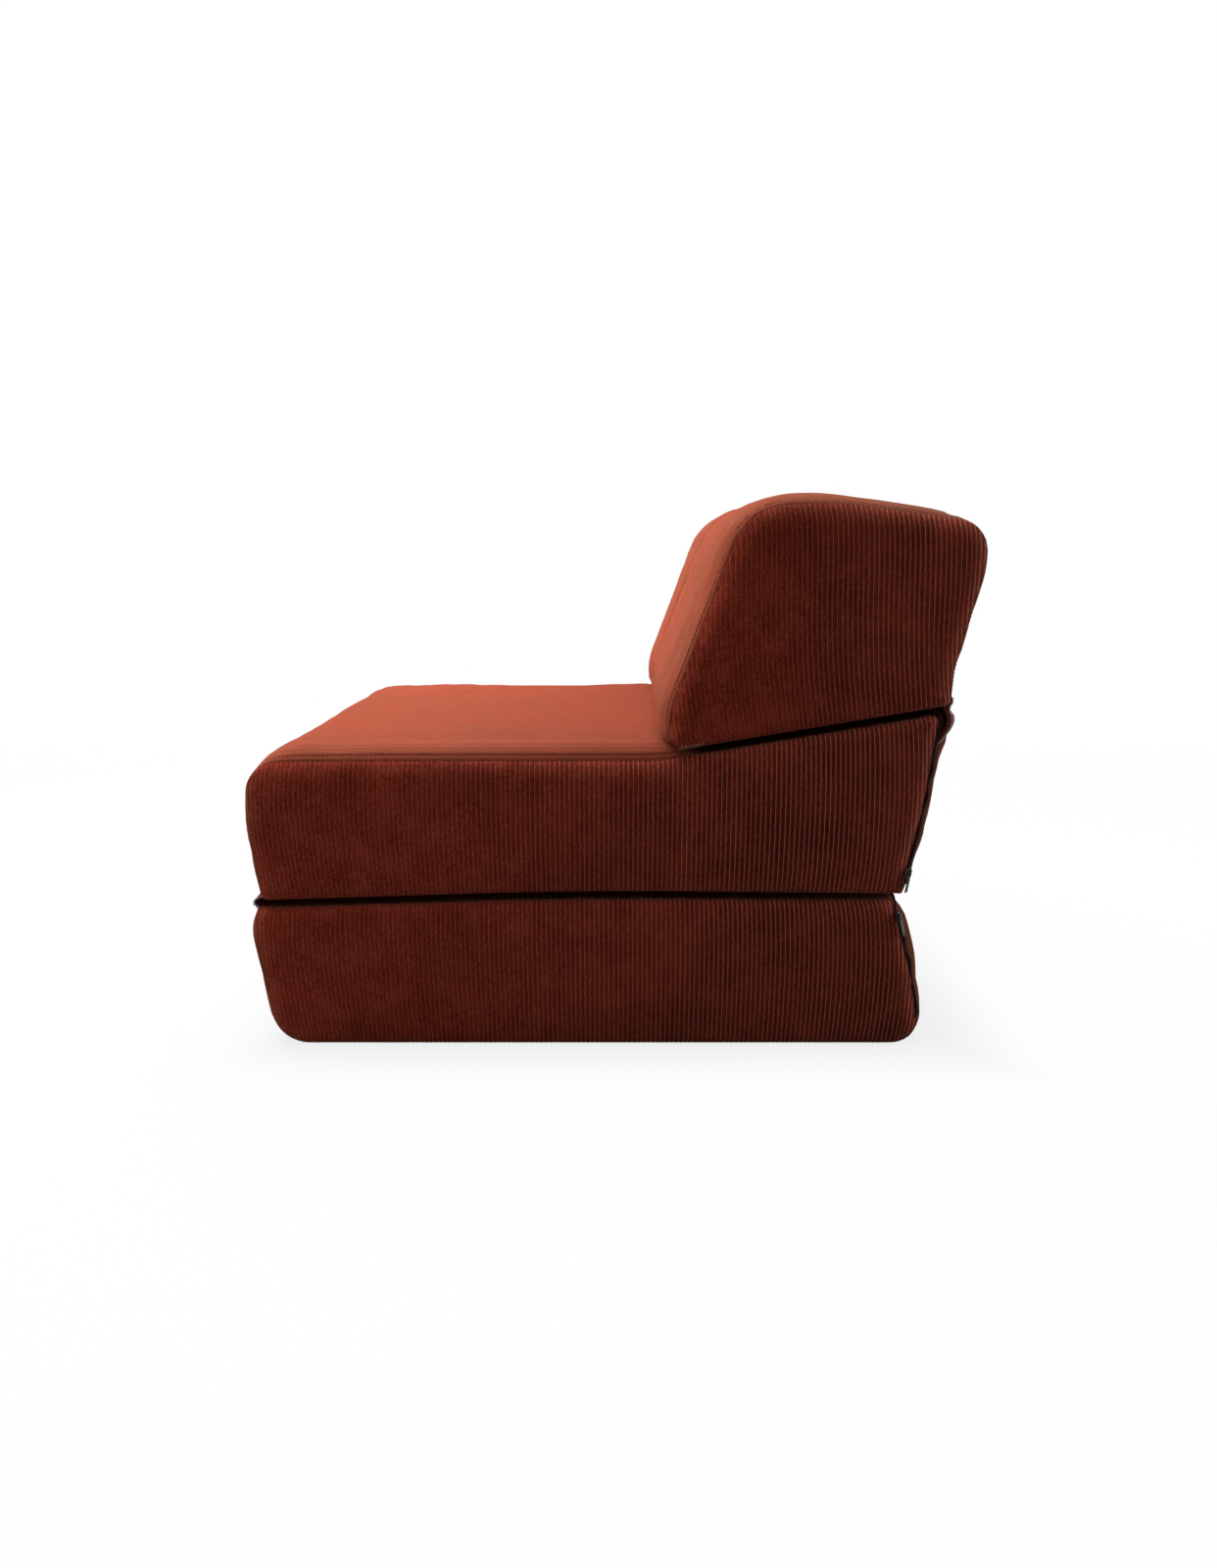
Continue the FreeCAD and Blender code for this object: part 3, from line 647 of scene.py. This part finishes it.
def grid_faces(lines, following):
    """Quads between lines of numbered points and the lines that follow them."""
    corners = [lines[:, :-1], following[:, :-1], following[:, 1:], lines[:, 1:]]
    return np.stack(corners, axis=-1).reshape(-1, 4)


def tube_faces(count, width):
    """Faces of a tube of rings of points, with both its ends closed."""
    number = np.arange(count * width).reshape(count, width)
    turned = np.roll(number, -1, axis=1)
    quads = np.stack([number[:-1], turned[:-1], turned[1:], number[1:]], axis=-1).reshape(-1, 4)
    return [quads, np.array([number[0][::-1], number[-1]])]


def mesh_object(name, points, faces, coordinates=None, attributes=None):
    """A smooth mesh object from points in millimetres and a list of face arrays."""
    mesh = bpy.data.meshes.new(name)
    loops = np.concatenate([part.ravel() for part in faces]).astype(np.int32)
    sizes = np.concatenate([np.full(len(part), part.shape[1]) for part in faces]).astype(np.int32)
    starts = np.concatenate([[0], np.cumsum(sizes)[:-1]]).astype(np.int32)
    mesh.vertices.add(len(points))
    mesh.vertices.foreach_set("co", (np.asarray(points) * MM).astype(np.float32).ravel())
    mesh.loops.add(len(loops))
    mesh.loops.foreach_set("vertex_index", loops)
    mesh.polygons.add(len(sizes))
    mesh.polygons.foreach_set("loop_start", starts)
    mesh.polygons.foreach_set("loop_total", sizes)
    mesh.update(calc_edges=True)
    mesh.validate()
    if coordinates is not None:
        layer = mesh.uv_layers.new(name="ribs")
        index = np.empty(len(mesh.loops), np.int32)
        mesh.loops.foreach_get("vertex_index", index)
        layer.data.foreach_set("uv", coordinates[index].astype(np.float32).ravel())
    for key, values in (attributes or {}).items():
        attribute = mesh.attributes.new(key, "FLOAT", "POINT")
        attribute.data.foreach_set("value", np.asarray(values, np.float32))
    mesh.shade_smooth()
    piece = bpy.data.objects.new(name, mesh)
    bpy.context.scene.collection.objects.link(piece)
    return piece


# Materials.

class Signal:
    """A number that varies over a surface; arithmetic on it adds Math nodes."""

    def __init__(self, shader, socket):
        self.shader = shader
        self.socket = socket

    def maths(self, operation, *others):
        values = dict(enumerate([self, *others]))
        return self.shader.node("ShaderNodeMath", {"operation": operation}, values)[0]

    def __add__(self, other):
        return self.maths("ADD", other)

    def __radd__(self, other):
        return self.maths("ADD", other)

    def __sub__(self, other):
        return self.maths("SUBTRACT", other)

    def __rsub__(self, other):
        return self.shader.node("ShaderNodeMath", {"operation": "SUBTRACT"}, {0: other, 1: self})[0]

    def __mul__(self, other):
        return self.maths("MULTIPLY", other)

    def __rmul__(self, other):
        return self.maths("MULTIPLY", other)

    def fraction(self):
        return self.maths("FRACT")

    def size(self):
        return self.maths("ABSOLUTE")

    def highest(self, other):
        return self.maths("MAXIMUM", other)

    def rise(self, low, high):
        """0 below low, 1 above high, smooth between."""
        return self.shader.node(
            "ShaderNodeMapRange", {"interpolation_type": "SMOOTHSTEP"},
            {"Value": self, "From Min": low, "From Max": high})[0]


class Shader:
    """A material's or the world's nodes, added by one method."""

    def __init__(self, owner):
        owner.use_nodes = True
        self.owner = owner
        self.tree = owner.node_tree

    def node(self, kind, settings=None, inputs=None):
        """One node: its settings first, then values or links for its sockets. Gives its outputs."""
        made = self.tree.nodes.new(kind)
        for key, value in (settings or {}).items():
            setattr(made, key, value)
        for key, value in (inputs or {}).items():
            self.feed(made.inputs[key], value)
        return [Signal(self, socket) for socket in made.outputs]

    def feed(self, socket, value):
        if isinstance(value, Signal):
            self.tree.links.new(value.socket, socket)
        elif isinstance(value, tuple) and len(value) == 3 and socket.type == "RGBA":
            socket.default_value = (*value, 1)
        else:
            socket.default_value = value

    def place(self):
        """Coordinates in metres on the piece itself."""
        return self.node("ShaderNodeTexCoord")[3]

    def measure(self, name):
        """A value that the mesh has at each of its points."""
        return self.node("ShaderNodeAttribute", {"attribute_name": name})[2]

    def noise(self, scale, detail=3.0, roughness=0.5):
        return self.node(
            "ShaderNodeTexNoise", None,
            {"Vector": self.place(), "Scale": scale, "Detail": detail, "Roughness": roughness})[0]

    def mix(self, share, first, second):
        """A colour between two, by a share of the second."""
        return self.node("ShaderNodeMix", {"data_type": "RGBA"}, {0: share, 6: first, 7: second})[2]

    def bump(self, height, distance, strength):
        return self.node(
            "ShaderNodeBump", None,
            {"Height": height, "Distance": distance, "Strength": strength})[0]

    def principled(self, **values):
        """Sets the surface's sockets. Gives the material."""
        surface = self.tree.nodes["Principled BSDF"]
        for key, value in values.items():
            self.feed(surface.inputs[key.replace("_", " ")], value)
        return self.owner


def material_shader(name):
    return Shader(bpy.data.materials.new(name))


# The pile where it is deep and where it is worn, the ground cloth in the grooves, the wraps' flatter
# pile, the painted shade on the wraps towards the rear, and the painted shade along the seams and between
# blocks.
PILE_DEEP = (0.170, 0.008, 0.0025)
PILE_WORN = (0.800, 0.086, 0.034)
GROUND_CLOTH = (0.960, 0.430, 0.310)
WRAP_PILE = (0.560, 0.135, 0.068)
WRAP_REAR_SHADE = (0.150, 0.024, 0.009)
SEAM_SHADE = (0.070, 0.010, 0.005)


def corduroy():
    """Rust corduroy: deep pile on the ribs, paler ground cloth in the grooves between them.
    On the wraps the pile lies flat, so that the ribs show less there."""
    shader = material_shader("rust_corduroy")
    ribs = shader.node("ShaderNodeUVMap", {"uv_map": "ribs"})[0]
    parts = shader.node("ShaderNodeSeparateXYZ", None, {0: ribs})
    wrap = shader.measure("on_wrap")
    gap = shader.measure("seam_gap")
    spread = shader.node("ShaderNodeTexCoord")[0]
    rearward = shader.node("ShaderNodeSeparateXYZ", None, {0: spread})[1].rise(0.1, 1.0)
    wander = shader.noise(60.0, 3.0) - 0.5
    phase = (parts[0] + wander * 0.12).fraction()
    off_crest = (phase - 0.5).size() * 2
    groove = off_crest.rise(0.74, 0.92)
    crest = 1 - off_crest.rise(0.0, 0.25)
    broad = shader.noise(6.0, 5.0, roughness=0.62)
    patches = shader.noise(26.0, 5.0, roughness=0.65)
    speckle = shader.noise(330.0, 4.0, roughness=0.8).rise(0.38, 0.62)
    brushed = (broad * 0.6 + patches * 0.4).rise(0.34, 0.66)
    # The pile mottles between deep and worn. The rearward term is painted shade that darkens it towards
    # the rear.
    pile = shader.mix(brushed * 0.36 + speckle * 0.36 + 0.11 - rearward * 0.24, PILE_DEEP, PILE_WORN)
    # Paler rib crests in patches, mostly towards the front.
    pale_crest = crest * patches.rise(0.45, 0.62) * (1 - rearward) * 0.35
    # The grooves show paler ground cloth. The rearward term is a painted highlight that brightens these
    # lines towards the rear.
    line = groove * (0.06 + rearward * 0.80 + speckle * 0.36) + pale_crest * (0.3 + speckle * 0.7)
    ribbed = shader.mix(line, pile, GROUND_CLOTH)
    flat = shader.mix((brushed * 0.5 + speckle * 0.35) * 0.5, WRAP_PILE, PILE_WORN)
    # Painted shade: each wrap darkens towards its rear.
    flat = shader.mix(rearward * 0.9, flat, WRAP_REAR_SHADE)
    cloth = shader.mix(wrap * (0.96 - gap.rise(8.0, 60.0) * 0.22), ribbed, flat)
    # Painted shade between the blocks, strongest near the seams, and in the bolster's long crease.
    hidden = shader.measure("hidden")
    gap_and_crease_shade = hidden * (0.92 - gap.rise(8.0, 45.0) * 0.60)
    # Painted shade within about 2 mm of each seam.
    near_seam = (1 - gap.rise(0.2, 1.8)) * 0.5
    colour = shader.mix(near_seam.highest(gap_and_crease_shade), cloth, SEAM_SHADE)
    height = speckle + shader.noise(1700.0, 1.0) * 0.6 - groove * 0.8
    return shader.principled(
        Base_Color=colour, Roughness=0.92, Specular_IOR_Level=0.12,
        Sheen_Weight=0.55, Sheen_Roughness=0.42, Sheen_Tint=(1.0, 0.45, 0.27),
        Normal=shader.bump(height, 0.0006, 0.8))


def simple_cloth(name, dark, light, weave, sheen=0.2):
    """Plain cloth, mottled between two colours, with a weave of that fineness."""
    shader = material_shader(name)
    grain = shader.noise(weave, 3.0)
    broad = shader.noise(60.0, 3.0)
    colour = shader.mix((grain * 0.6 + broad * 0.4).rise(0.35, 0.65), dark, light)
    return shader.principled(
        Base_Color=colour, Roughness=0.92, Sheen_Weight=sheen, Specular_IOR_Level=0.15,
        Normal=shader.bump(grain, 0.0004, 0.6))


def dull_metal():
    """The zips' scuffed grey metal."""
    shader = material_shader("dull_zip_metal")
    scuffs = shader.noise(700.0, 4.0)
    colour = shader.mix(scuffs.rise(0.4, 0.7), (0.10, 0.095, 0.09), (0.26, 0.25, 0.24))
    return shader.principled(
        Base_Color=colour, Metallic=1.0, Roughness=scuffs * 0.3 + 0.25,
        Normal=shader.bump(scuffs, 0.0001, 0.4))


def moulded_black():
    """The black plastic of the zips' teeth."""
    shader = material_shader("black_coil_plastic")
    grain = shader.noise(1200.0, 2.0)
    colour = shader.mix(grain.rise(0.4, 0.6), (0.006, 0.005, 0.005), (0.018, 0.015, 0.014))
    return shader.principled(
        Base_Color=colour, Roughness=grain * 0.2 + 0.5, Specular_IOR_Level=0.25,
        Normal=shader.bump(grain, 0.0001, 0.3))


MATERIALS = {
    "corduroy": corduroy(),
    "foam": simple_cloth("cream_foam", (0.62, 0.54, 0.34), (0.80, 0.73, 0.52), 500.0),
    "zip_tape": simple_cloth("black_tape", (0.006, 0.004, 0.004), (0.020, 0.013, 0.012), 1500.0, 0.03),
    "zip_coil": moulded_black(),
    "zip_metal": dull_metal(),
    "webbing": simple_cloth("hinge_band_cloth", (0.20, 0.030, 0.014), (0.36, 0.062, 0.029), 1100.0, 0.3),
}
SELVEDGE = simple_cloth("pale_selvedge", (0.55, 0.44, 0.37), (0.92, 0.80, 0.71), 1400.0)
THREAD = simple_cloth("rust_thread", (0.045, 0.010, 0.006), (0.14, 0.035, 0.020), 2500.0)


def dress(piece, slot_name, material=None):
    """Gives a piece its slot and that slot's material, or another one."""
    piece.data.materials.clear()
    piece.data.materials.append(material or MATERIALS[slot_name])


def make_cushion(name, seed):
    """One block in its cover, which stands for the block's foam and cover panels."""
    cushion = Cushion(name, seed)
    folds = cloth_folds(cushion)
    ribbing = (RIB_PITCH, RIB_PLACES, RIB_HEIGHTS)
    points, faces, coordinates, surface, _ = cushion.build(ribbing, folds)
    points[:, 2] = np.maximum(points[:, 2], FLOOR_GAP)
    piece = mesh_object(name + "_cushion", points, faces, coordinates, surface)
    dress(piece, "corduroy")
    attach(piece, name)
    nodes = [f"{name}_wrap_panel", f"{name}_left_side_panel", f"{name}_right_side_panel"]
    if name != "back":
        nodes.append(f"{name}_rear_panel")
    nodes += ["seat_foam_slab", "seat_foam_wedge"] if name == "seat" else [f"{name}_foam_core"]
    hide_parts(*nodes)
    return cushion


SEEDS = {"base": 11, "seat": 23, "back": 37}
CUSHIONS = {name: make_cushion(name, seed) for name, seed in SEEDS.items()}


def surface_frame(cushion, runs, across):
    """Points on a cushion's wrap with unit vectors out of it."""
    inwards = np.where(across > 0, -1.0, 1.0)
    here = cushion.wrap(runs, across)
    further = cushion.wrap(runs + 1.0, across)
    beside = cushion.wrap(runs, across + inwards)
    out = np.cross(further - here, (beside - here) * inwards[..., None])
    return here, out / np.linalg.norm(out, axis=-1, keepdims=True)


# Zips.

def run_at_height(cushion, height, rear=True):
    """Length round the outline at which the rear or front seam reaches a height."""
    places = cushion.points[:, 0]
    near = places > places.max() - 80 if rear else places < places.min() + 60
    heights, runs = cushion.points[near, 1], cushion.run[near]
    order = np.argsort(heights)
    return float(np.interp(height, heights[order], runs[order]))


def zip_path(cushion, spacing):
    """Points and outward directions along a zip, from end to end."""
    if cushion.name == "back":
        across = np.arange(-BACK_ZIP_REACH, BACK_ZIP_REACH + 0.1, spacing)
        runs = np.full(len(across), run_at_height(cushion, BACK_ZIP_HEIGHT))
        return surface_frame(cushion, runs, across)
    foot, head = ARCHED_ZIPS[cushion.name]
    outline = OUTLINES[cushion.name]
    start = np.array(outline[0][:2])
    end = np.array(next(corner[:2] for corner in outline if corner[3] == "pressed"))
    rise = (end - start)[1] / np.linalg.norm(end - start)
    run_foot = run_at_height(cushion, start[1] + foot * rise)
    run_head = run_at_height(cushion, start[1] + head * rise)
    edge = SEAM_X - ZIP_INSET
    up = np.arange(run_foot, run_head - ZIP_TURN, spacing)
    level = np.arange(-edge + ZIP_TURN, edge - ZIP_TURN, spacing)
    turn = np.arange(spacing / ZIP_TURN / 2, math.pi / 2, spacing / ZIP_TURN)
    turn_up = run_head - ZIP_TURN + ZIP_TURN * np.sin(turn)
    turn_in = ZIP_TURN - ZIP_TURN * np.cos(turn)
    runs = np.concatenate([up, turn_up, np.full(len(level), run_head), turn_up[::-1], up[::-1]])
    across = np.concatenate([np.full(len(up), -edge), turn_in - edge, level,
                             edge - turn_in[::-1], np.full(len(up), edge)])
    here, out = surface_frame(cushion, runs, across)
    side = np.stack([np.sign(across), 0 * across, 0 * across], axis=-1)
    on_seam = ease((np.abs(across) - edge + 5) / 4)[:, None]
    out = out + side * 0.85 * on_seam
    return here, out / np.linalg.norm(out, axis=1, keepdims=True)


def path_frames(here, out):
    """Unit vectors along a path, out of the surface and beside the path."""
    along = np.gradient(here, axis=0)
    along /= np.linalg.norm(along, axis=1, keepdims=True)
    beside = np.cross(along, out)
    beside /= np.linalg.norm(beside, axis=1, keepdims=True)
    return along, np.cross(beside, along), beside


def sweep(name, here, out, section):
    """A closed section, as (beside, out) pairs, carried along a path, with both ends closed."""
    _, out, beside = path_frames(here, out)
    section = np.asarray(section, float)
    rings = (here[:, None, :] + beside[:, None, :] * section[None, :, :1]
             + out[:, None, :] * section[None, :, 1:])
    return mesh_object(name, rings.reshape(-1, 3), tube_faces(*rings.shape[:2]))


def scatter(name, spots, ways, outs, besides, capsule_mesh):
    """Copies of a small capsule at spots, each turned to its own directions."""
    shape, faces = np.asarray(capsule_mesh[0], float), capsule_mesh[1]
    points = (spots[:, None, :] + ways[:, None, :] * shape[None, :, 0:1]
              + besides[:, None, :] * shape[None, :, 1:2] + outs[:, None, :] * shape[None, :, 2:3])
    shift = (np.arange(len(spots)) * len(shape))[:, None, None]
    all_faces = [(part[None] + shift).reshape(-1, part.shape[1]) for part in faces]
    return mesh_object(name, points.reshape(-1, 3), all_faces)


def capsule(length, radius_beside, radius_out, sides=6):
    """A short rounded bar along X, for a stitch or a tooth."""
    rings = ((-0.5, 0.0), (-0.36, 0.8), (0.0, 1.0), (0.36, 0.8), (0.5, 0.0))
    points, quads, triangles = [(-length / 2, 0, 0)], [], []
    for place, share in rings[1:-1]:
        for k in range(sides):
            angle = 2 * math.pi * k / sides
            points.append((place * length, math.cos(angle) * radius_beside * share,
                           math.sin(angle) * radius_out * share))
    points.append((length / 2, 0, 0))
    for ring in range(2):
        for k in range(sides):
            a, b = 1 + ring * sides + k, 1 + ring * sides + (k + 1) % sides
            quads.append((a, b, b + sides, a + sides))
    last = len(points) - 1
    for k in range(sides):
        a, b = 1 + k, 1 + (k + 1) % sides
        triangles.append((0, b, a))
        triangles.append((last, a + 2 * sides, b + 2 * sides))
    return points, [np.array(quads), np.array(triangles)]


def make_zip(cushion):
    """A zip's tape and its single teeth, on the swollen cover."""
    name = cushion.name
    here, out = zip_path(cushion, TAPE_STEP)
    tape = sweep(name + "_zip_tape_cloth", here + out * TAPE_LIFT, out, TAPE_SECTION)
    dress(tape, "zip_tape")
    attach(tape, name)
    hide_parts(name + "_zip_tape")
    here, out = zip_path(cushion, TOOTH_PITCH)
    along, out, beside = path_frames(here, out)
    spots = here + out * TOOTH_LIFT
    teeth = scatter(name + "_zip_teeth", spots, beside, out, along, capsule(*TOOTH_SIZE))
    dress(teeth, "zip_coil")
    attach(teeth, name)
    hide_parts(name + "_zip_coil")


for cushion in CUSHIONS.values():
    make_zip(cushion)


# Stitches along the side seams, and the tack at the bolster's corners.

def stitch_seam(cushion, side, word):
    """A row of stitches round one side of a block, just inside its seam."""
    runs = np.arange(0, cushion.total, STITCH_PITCH)
    across = np.full(len(runs), side * (SEAM_X - STITCH_INSET))
    here, out = surface_frame(cushion, runs, across)
    along, out, beside = path_frames(here, out)
    piece = scatter(f"{cushion.name}_{word}_seam_stitches", here - out * STITCH_SINK, along, out, beside,
                    capsule(*STITCH_SIZE))
    dress(piece, "corduroy", THREAD)
    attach(piece, cushion.name)


def corner_tack(side, word):
    """Two short rows of pale stitches at the bolster's front bottom corner."""
    along = np.array([0.0, math.cos(TACK_SLOPE), math.sin(TACK_SLOPE)])
    up = np.array([0.0, -along[2], along[1]])
    start = np.array([0.0, *TACK_START])
    spots = np.array([
        start + along * (TACK_PITCH * k + inward) + up * inward + (side * (SEAM_X + stand), 0, 0)
        for inward, stand in TACK_ROWS for k in range(TACK_STITCHES)])
    ways = np.tile(along, (len(spots), 1))
    outs = np.tile([float(side), 0.0, 0.0], (len(spots), 1))
    piece = scatter(f"back_{word}_corner_tack", spots, ways, outs, np.cross(ways, outs),
                    capsule(*TACK_SIZE))
    dress(piece, "corduroy", SELVEDGE)
    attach(piece, "back")


SIDES = ((-1, "left"), (1, "right"))
for cushion in CUSHIONS.values():
    for side, word in SIDES:
        stitch_seam(cushion, side, word)
for side, word in SIDES:
    corner_tack(side, word)


# Cloth hinges.

def standing_out(name, height, rear, across):
    """How far a block's wrap stands out of its own edge at places across, at one height."""
    cushion = CUSHIONS[name]
    run = run_at_height(cushion, height, rear)
    here = cushion.wrap(np.full(len(across), run), across)
    return here[:, 1] - cushion.wrap(np.array([run]), np.array([HINGE_REACH]))[0, 1]


def hinge_rows(profile, first, second):
    """The profile at each place across, shifted outwards where the two blocks' faces are swollen."""
    across = np.linspace(-HINGE_REACH, HINGE_REACH, HINGE_STEPS)
    rear = profile[0, 0] > 0
    lower = standing_out(first, profile[1, 1], rear, across)
    upper = standing_out(second, profile[-2, 1], rear, across)
    share = ease(np.linspace(-0.3, 1.3, len(profile)))
    waver = Ripple(71, HINGE_WAVER_WAVE)
    rows = []
    for x, low, high in zip(across, lower, upper):
        spots = np.column_stack([np.full(len(profile), x), profile])
        shift = HINGE_WAVER * waver.at(spots) + HINGE_BULGE_SHARE * (low * (1 - share) + high * share)
        rows.append(spots + np.column_stack([0 * shift, shift, 0 * shift]))
    return np.array(rows)


def hinge_strip(name, profile, backing, first, second, nodes):
    """A band along the width with a profile in the YZ plane, bending between two blocks and lying
    on their swollen faces. Its backing is how far its other layers reach inwards behind it."""
    profile = np.asarray(profile, float)
    rows = hinge_rows(profile, first, second)
    path = np.gradient(profile, axis=0)
    path /= np.linalg.norm(path, axis=1, keepdims=True)
    thick = np.column_stack([np.zeros(len(profile)), path[:, 1], -path[:, 0]]) * HINGE_HALF_THICKNESS
    outer, inner = rows + thick, rows - thick - (0.0, backing, 0.0)
    rings = np.concatenate([outer, inner[:, ::-1]], axis=1)
    piece = mesh_object(name, rings.reshape(-1, 3), tube_faces(*rings.shape[:2]))
    dress(piece, "webbing")
    for (side, word), row in zip(SIDES, (rows[0], rows[-1])):
        edges = [cut_edge(f"{name}_{word}_edge", row, side), fray(f"{name}_{word}_fray", row, side)]
        for edge in edges:
            dress(edge, "webbing", SELVEDGE)
            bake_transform(edge)
    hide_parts(*nodes)
    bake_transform(piece)


def cut_edge(name, row, side):
    """The pale whipped edge at one end of a hinge band."""
    count = len(row)
    places = np.linspace(0, count - 1, count * 4)
    fine = np.column_stack([np.interp(places, np.arange(count), row[:, k]) for k in range(3)])
    fine[:, 0] += side * 0.3
    out = np.tile([float(side), 0.0, 0.0], (len(fine), 1))
    turns = np.linspace(0, 2 * math.pi, 6, endpoint=False)
    return sweep(name, fine, out, [(0.9 * math.cos(turn), 0.7 * math.sin(turn)) for turn in turns])


def fray(name, row, side):
    """Loose thread ends round one end of a hinge band, where its edge is cut."""
    draw = np.random.default_rng(5)
    place = draw.uniform(0, len(row) - 1, FRAY_THREADS)
    low = np.minimum(place.astype(int), len(row) - 2)
    spots = row[low] + (row[low + 1] - row[low]) * (place - low)[:, None]
    ways = draw.normal(size=(FRAY_THREADS, 3)) * (0.8, 1.0, 1.0) + (side * 0.5, 0.0, 0.0)
    ways /= np.linalg.norm(ways, axis=1, keepdims=True)
    besides = np.cross(ways, draw.normal(size=(FRAY_THREADS, 3)))
    besides /= np.linalg.norm(besides, axis=1, keepdims=True)
    ways *= draw.uniform(*FRAY_LENGTHS, FRAY_THREADS)[:, None]
    outs = np.cross(ways, besides) / 3
    return scatter(name, spots + ways * 0.35, ways, outs, besides, capsule(1.0, 0.4, 0.4, 4))


FRONT_PROFILE = [
    (-459.0, 188.0), (-463.0, 190.6), (-466.8, 193.2), (-469.4, 196.0), (-470.4, 199.2),
    (-469.4, 202.4), (-467.0, 204.6), (-463.4, 206.0), (-458.0, 207.5),
]
hinge_strip("front_hinge_cloth", FRONT_PROFILE, 0.0, "base", "seat",
            ("front_hinge_lower_band", "front_hinge_upper_band"))
REAR_PROFILE = [
    (424.0, 412.0), (430.0, 420.0), (435.0, 428.0), (438.6, 435.0), (440.4, 441.0),
    (440.0, 447.0), (437.4, 451.4), (435.4, 455.0), (435.0, 458.0), (435.8, 461.0),
    (437.4, 464.0), (438.4, 467.0), (438.2, 470.0), (436.0, 474.0),
]
REAR_BACKING = 6.0
hinge_strip("rear_hinge_cloth", REAR_PROFILE, REAR_BACKING, "seat", "back",
            ("rear_hinge_lower_band", "rear_hinge_upper_band"))


def dress_cad_nodes():
    """Every CAD node gets its slot's material. Of those that show, all belong to the zips."""
    slots = {part["node"]: part["material_slot"] for part in frame["record"]["subparts"]}
    for name, node in frame["nodes"].items():
        for slot in node.material_slots:
            slot.material = MATERIALS[slots[name]]


dress_cad_nodes()


# Floor, light and camera.

FLOOR_REACH = 60.0
FLOOR_GLOW = 0.82
FLOOR_LIT = (0.16, 0.16, 0.16)
FLOOR_SEEN = (0.90, 0.90, 0.90)
CONTACT_BOX = (0.33, 0.44)
WORLD_STRENGTH = 0.07

# Lamps: place, the point they face, width, height and watts.
LAMPS = {
    "overhead": ((-0.8, -0.6, 2.6), (-0.1, 0, 0.3), 2.8, 2.8, 112),
    "front": ((1.3, -2.0, 1.3), (0.2, 0, 0.4), 1.2, 1.2, 8),
    "rear": ((0.15, 2.4, 0.9), (0.1, 0.4, 0.3), 0.6, 1.4, 20),
}


def white_floor():
    """White where the camera sees it, but for a soft shadow close to the base. It throws little
    light on the sides."""
    shader = material_shader("white_floor")
    seen = shader.node("ShaderNodeLightPath")[0]
    shader.principled(Base_Color=shader.mix(seen, FLOOR_LIT, FLOOR_SEEN), Roughness=0.9,
                      Specular_IOR_Level=0.1)
    glow = shader.node("ShaderNodeEmission", None, {"Color": (1.0, 1.0, 1.0), "Strength": 1.0})[0]
    lit = Signal(shader, shader.tree.nodes["Principled BSDF"].outputs[0])
    parts = shader.node("ShaderNodeSeparateXYZ", None, {0: shader.place()})
    beside = (parts[0].size() - CONTACT_BOX[0]).highest(parts[1].size() - CONTACT_BOX[1])
    clear = beside.rise(0.0, 0.15) * 0.85 + beside.rise(0.6, 2.0) * 0.15
    glowing = clear * (1 - FLOOR_GLOW) + FLOOR_GLOW
    mixed = shader.node("ShaderNodeMixShader", None, {0: seen * glowing, 1: lit, 2: glow})[0]
    shader.feed(shader.tree.nodes["Material Output"].inputs["Surface"], mixed)
    return shader.owner


def floor_and_backdrop():
    """One wide floor, which is the backdrop as well."""
    mesh = bpy.data.meshes.new("floor")
    corners = [(-1, -1), (1, -1), (1, 1), (-1, 1)]
    mesh.from_pydata([(x * FLOOR_REACH, y * FLOOR_REACH, 0) for x, y in corners], [], [(0, 1, 2, 3)])
    mesh.materials.append(white_floor())
    floor = bpy.data.objects.new("floor", mesh)
    bpy.context.scene.collection.objects.link(floor)


def world_light():
    """A weak light from all round, and plain white where the camera sees past the floor."""
    world = bpy.data.worlds.new("studio")
    bpy.context.scene.world = world
    shader = Shader(world)
    background = shader.tree.nodes["Background"]
    background.inputs["Color"].default_value = (1, 1, 1, 1)
    seen = shader.node("ShaderNodeLightPath")[0]
    level = shader.node("ShaderNodeMapRange", None,
                        {"Value": seen, "To Min": WORLD_STRENGTH, "To Max": 1.0})[0]
    shader.feed(background.inputs["Strength"], level)


def softbox(name, place, target, width, height, power):
    """A wide soft lamp that faces a point."""
    light = bpy.data.lights.new(name, "AREA")
    light.shape = "RECTANGLE"
    light.size, light.size_y = width, height
    light.energy = power
    lamp = bpy.data.objects.new(name, light)
    lamp.location = place
    direction = Vector(target) - Vector(place)
    lamp.rotation_euler = direction.to_track_quat("-Z", "Y").to_euler()
    bpy.context.scene.collection.objects.link(lamp)


# The camera stands off the chair's right side, in metres, tipped down.
CAMERA_DISTANCE = 1.730
CAMERA_HEIGHT = 0.6515
CAMERA_TILT = math.radians(11.85)
CAMERA_LENS = 25.2


def photograph_camera():
    """The camera at the photograph's place, level from side to side."""
    data = bpy.data.cameras.new("camera")
    data.sensor_width = 36.0
    data.lens = CAMERA_LENS
    data.clip_end = 200
    camera = bpy.data.objects.new("camera", data)
    camera.location = (CAMERA_DISTANCE, 0, CAMERA_HEIGHT)
    camera.rotation_euler = (math.pi / 2 - CAMERA_TILT, 0, math.pi / 2)
    bpy.context.scene.collection.objects.link(camera)
    bpy.context.scene.camera = camera


floor_and_backdrop()
world_light()
for name, lamp in LAMPS.items():
    softbox(name, *lamp)
photograph_camera()
bpy.context.scene.view_settings.view_transform = "Standard"
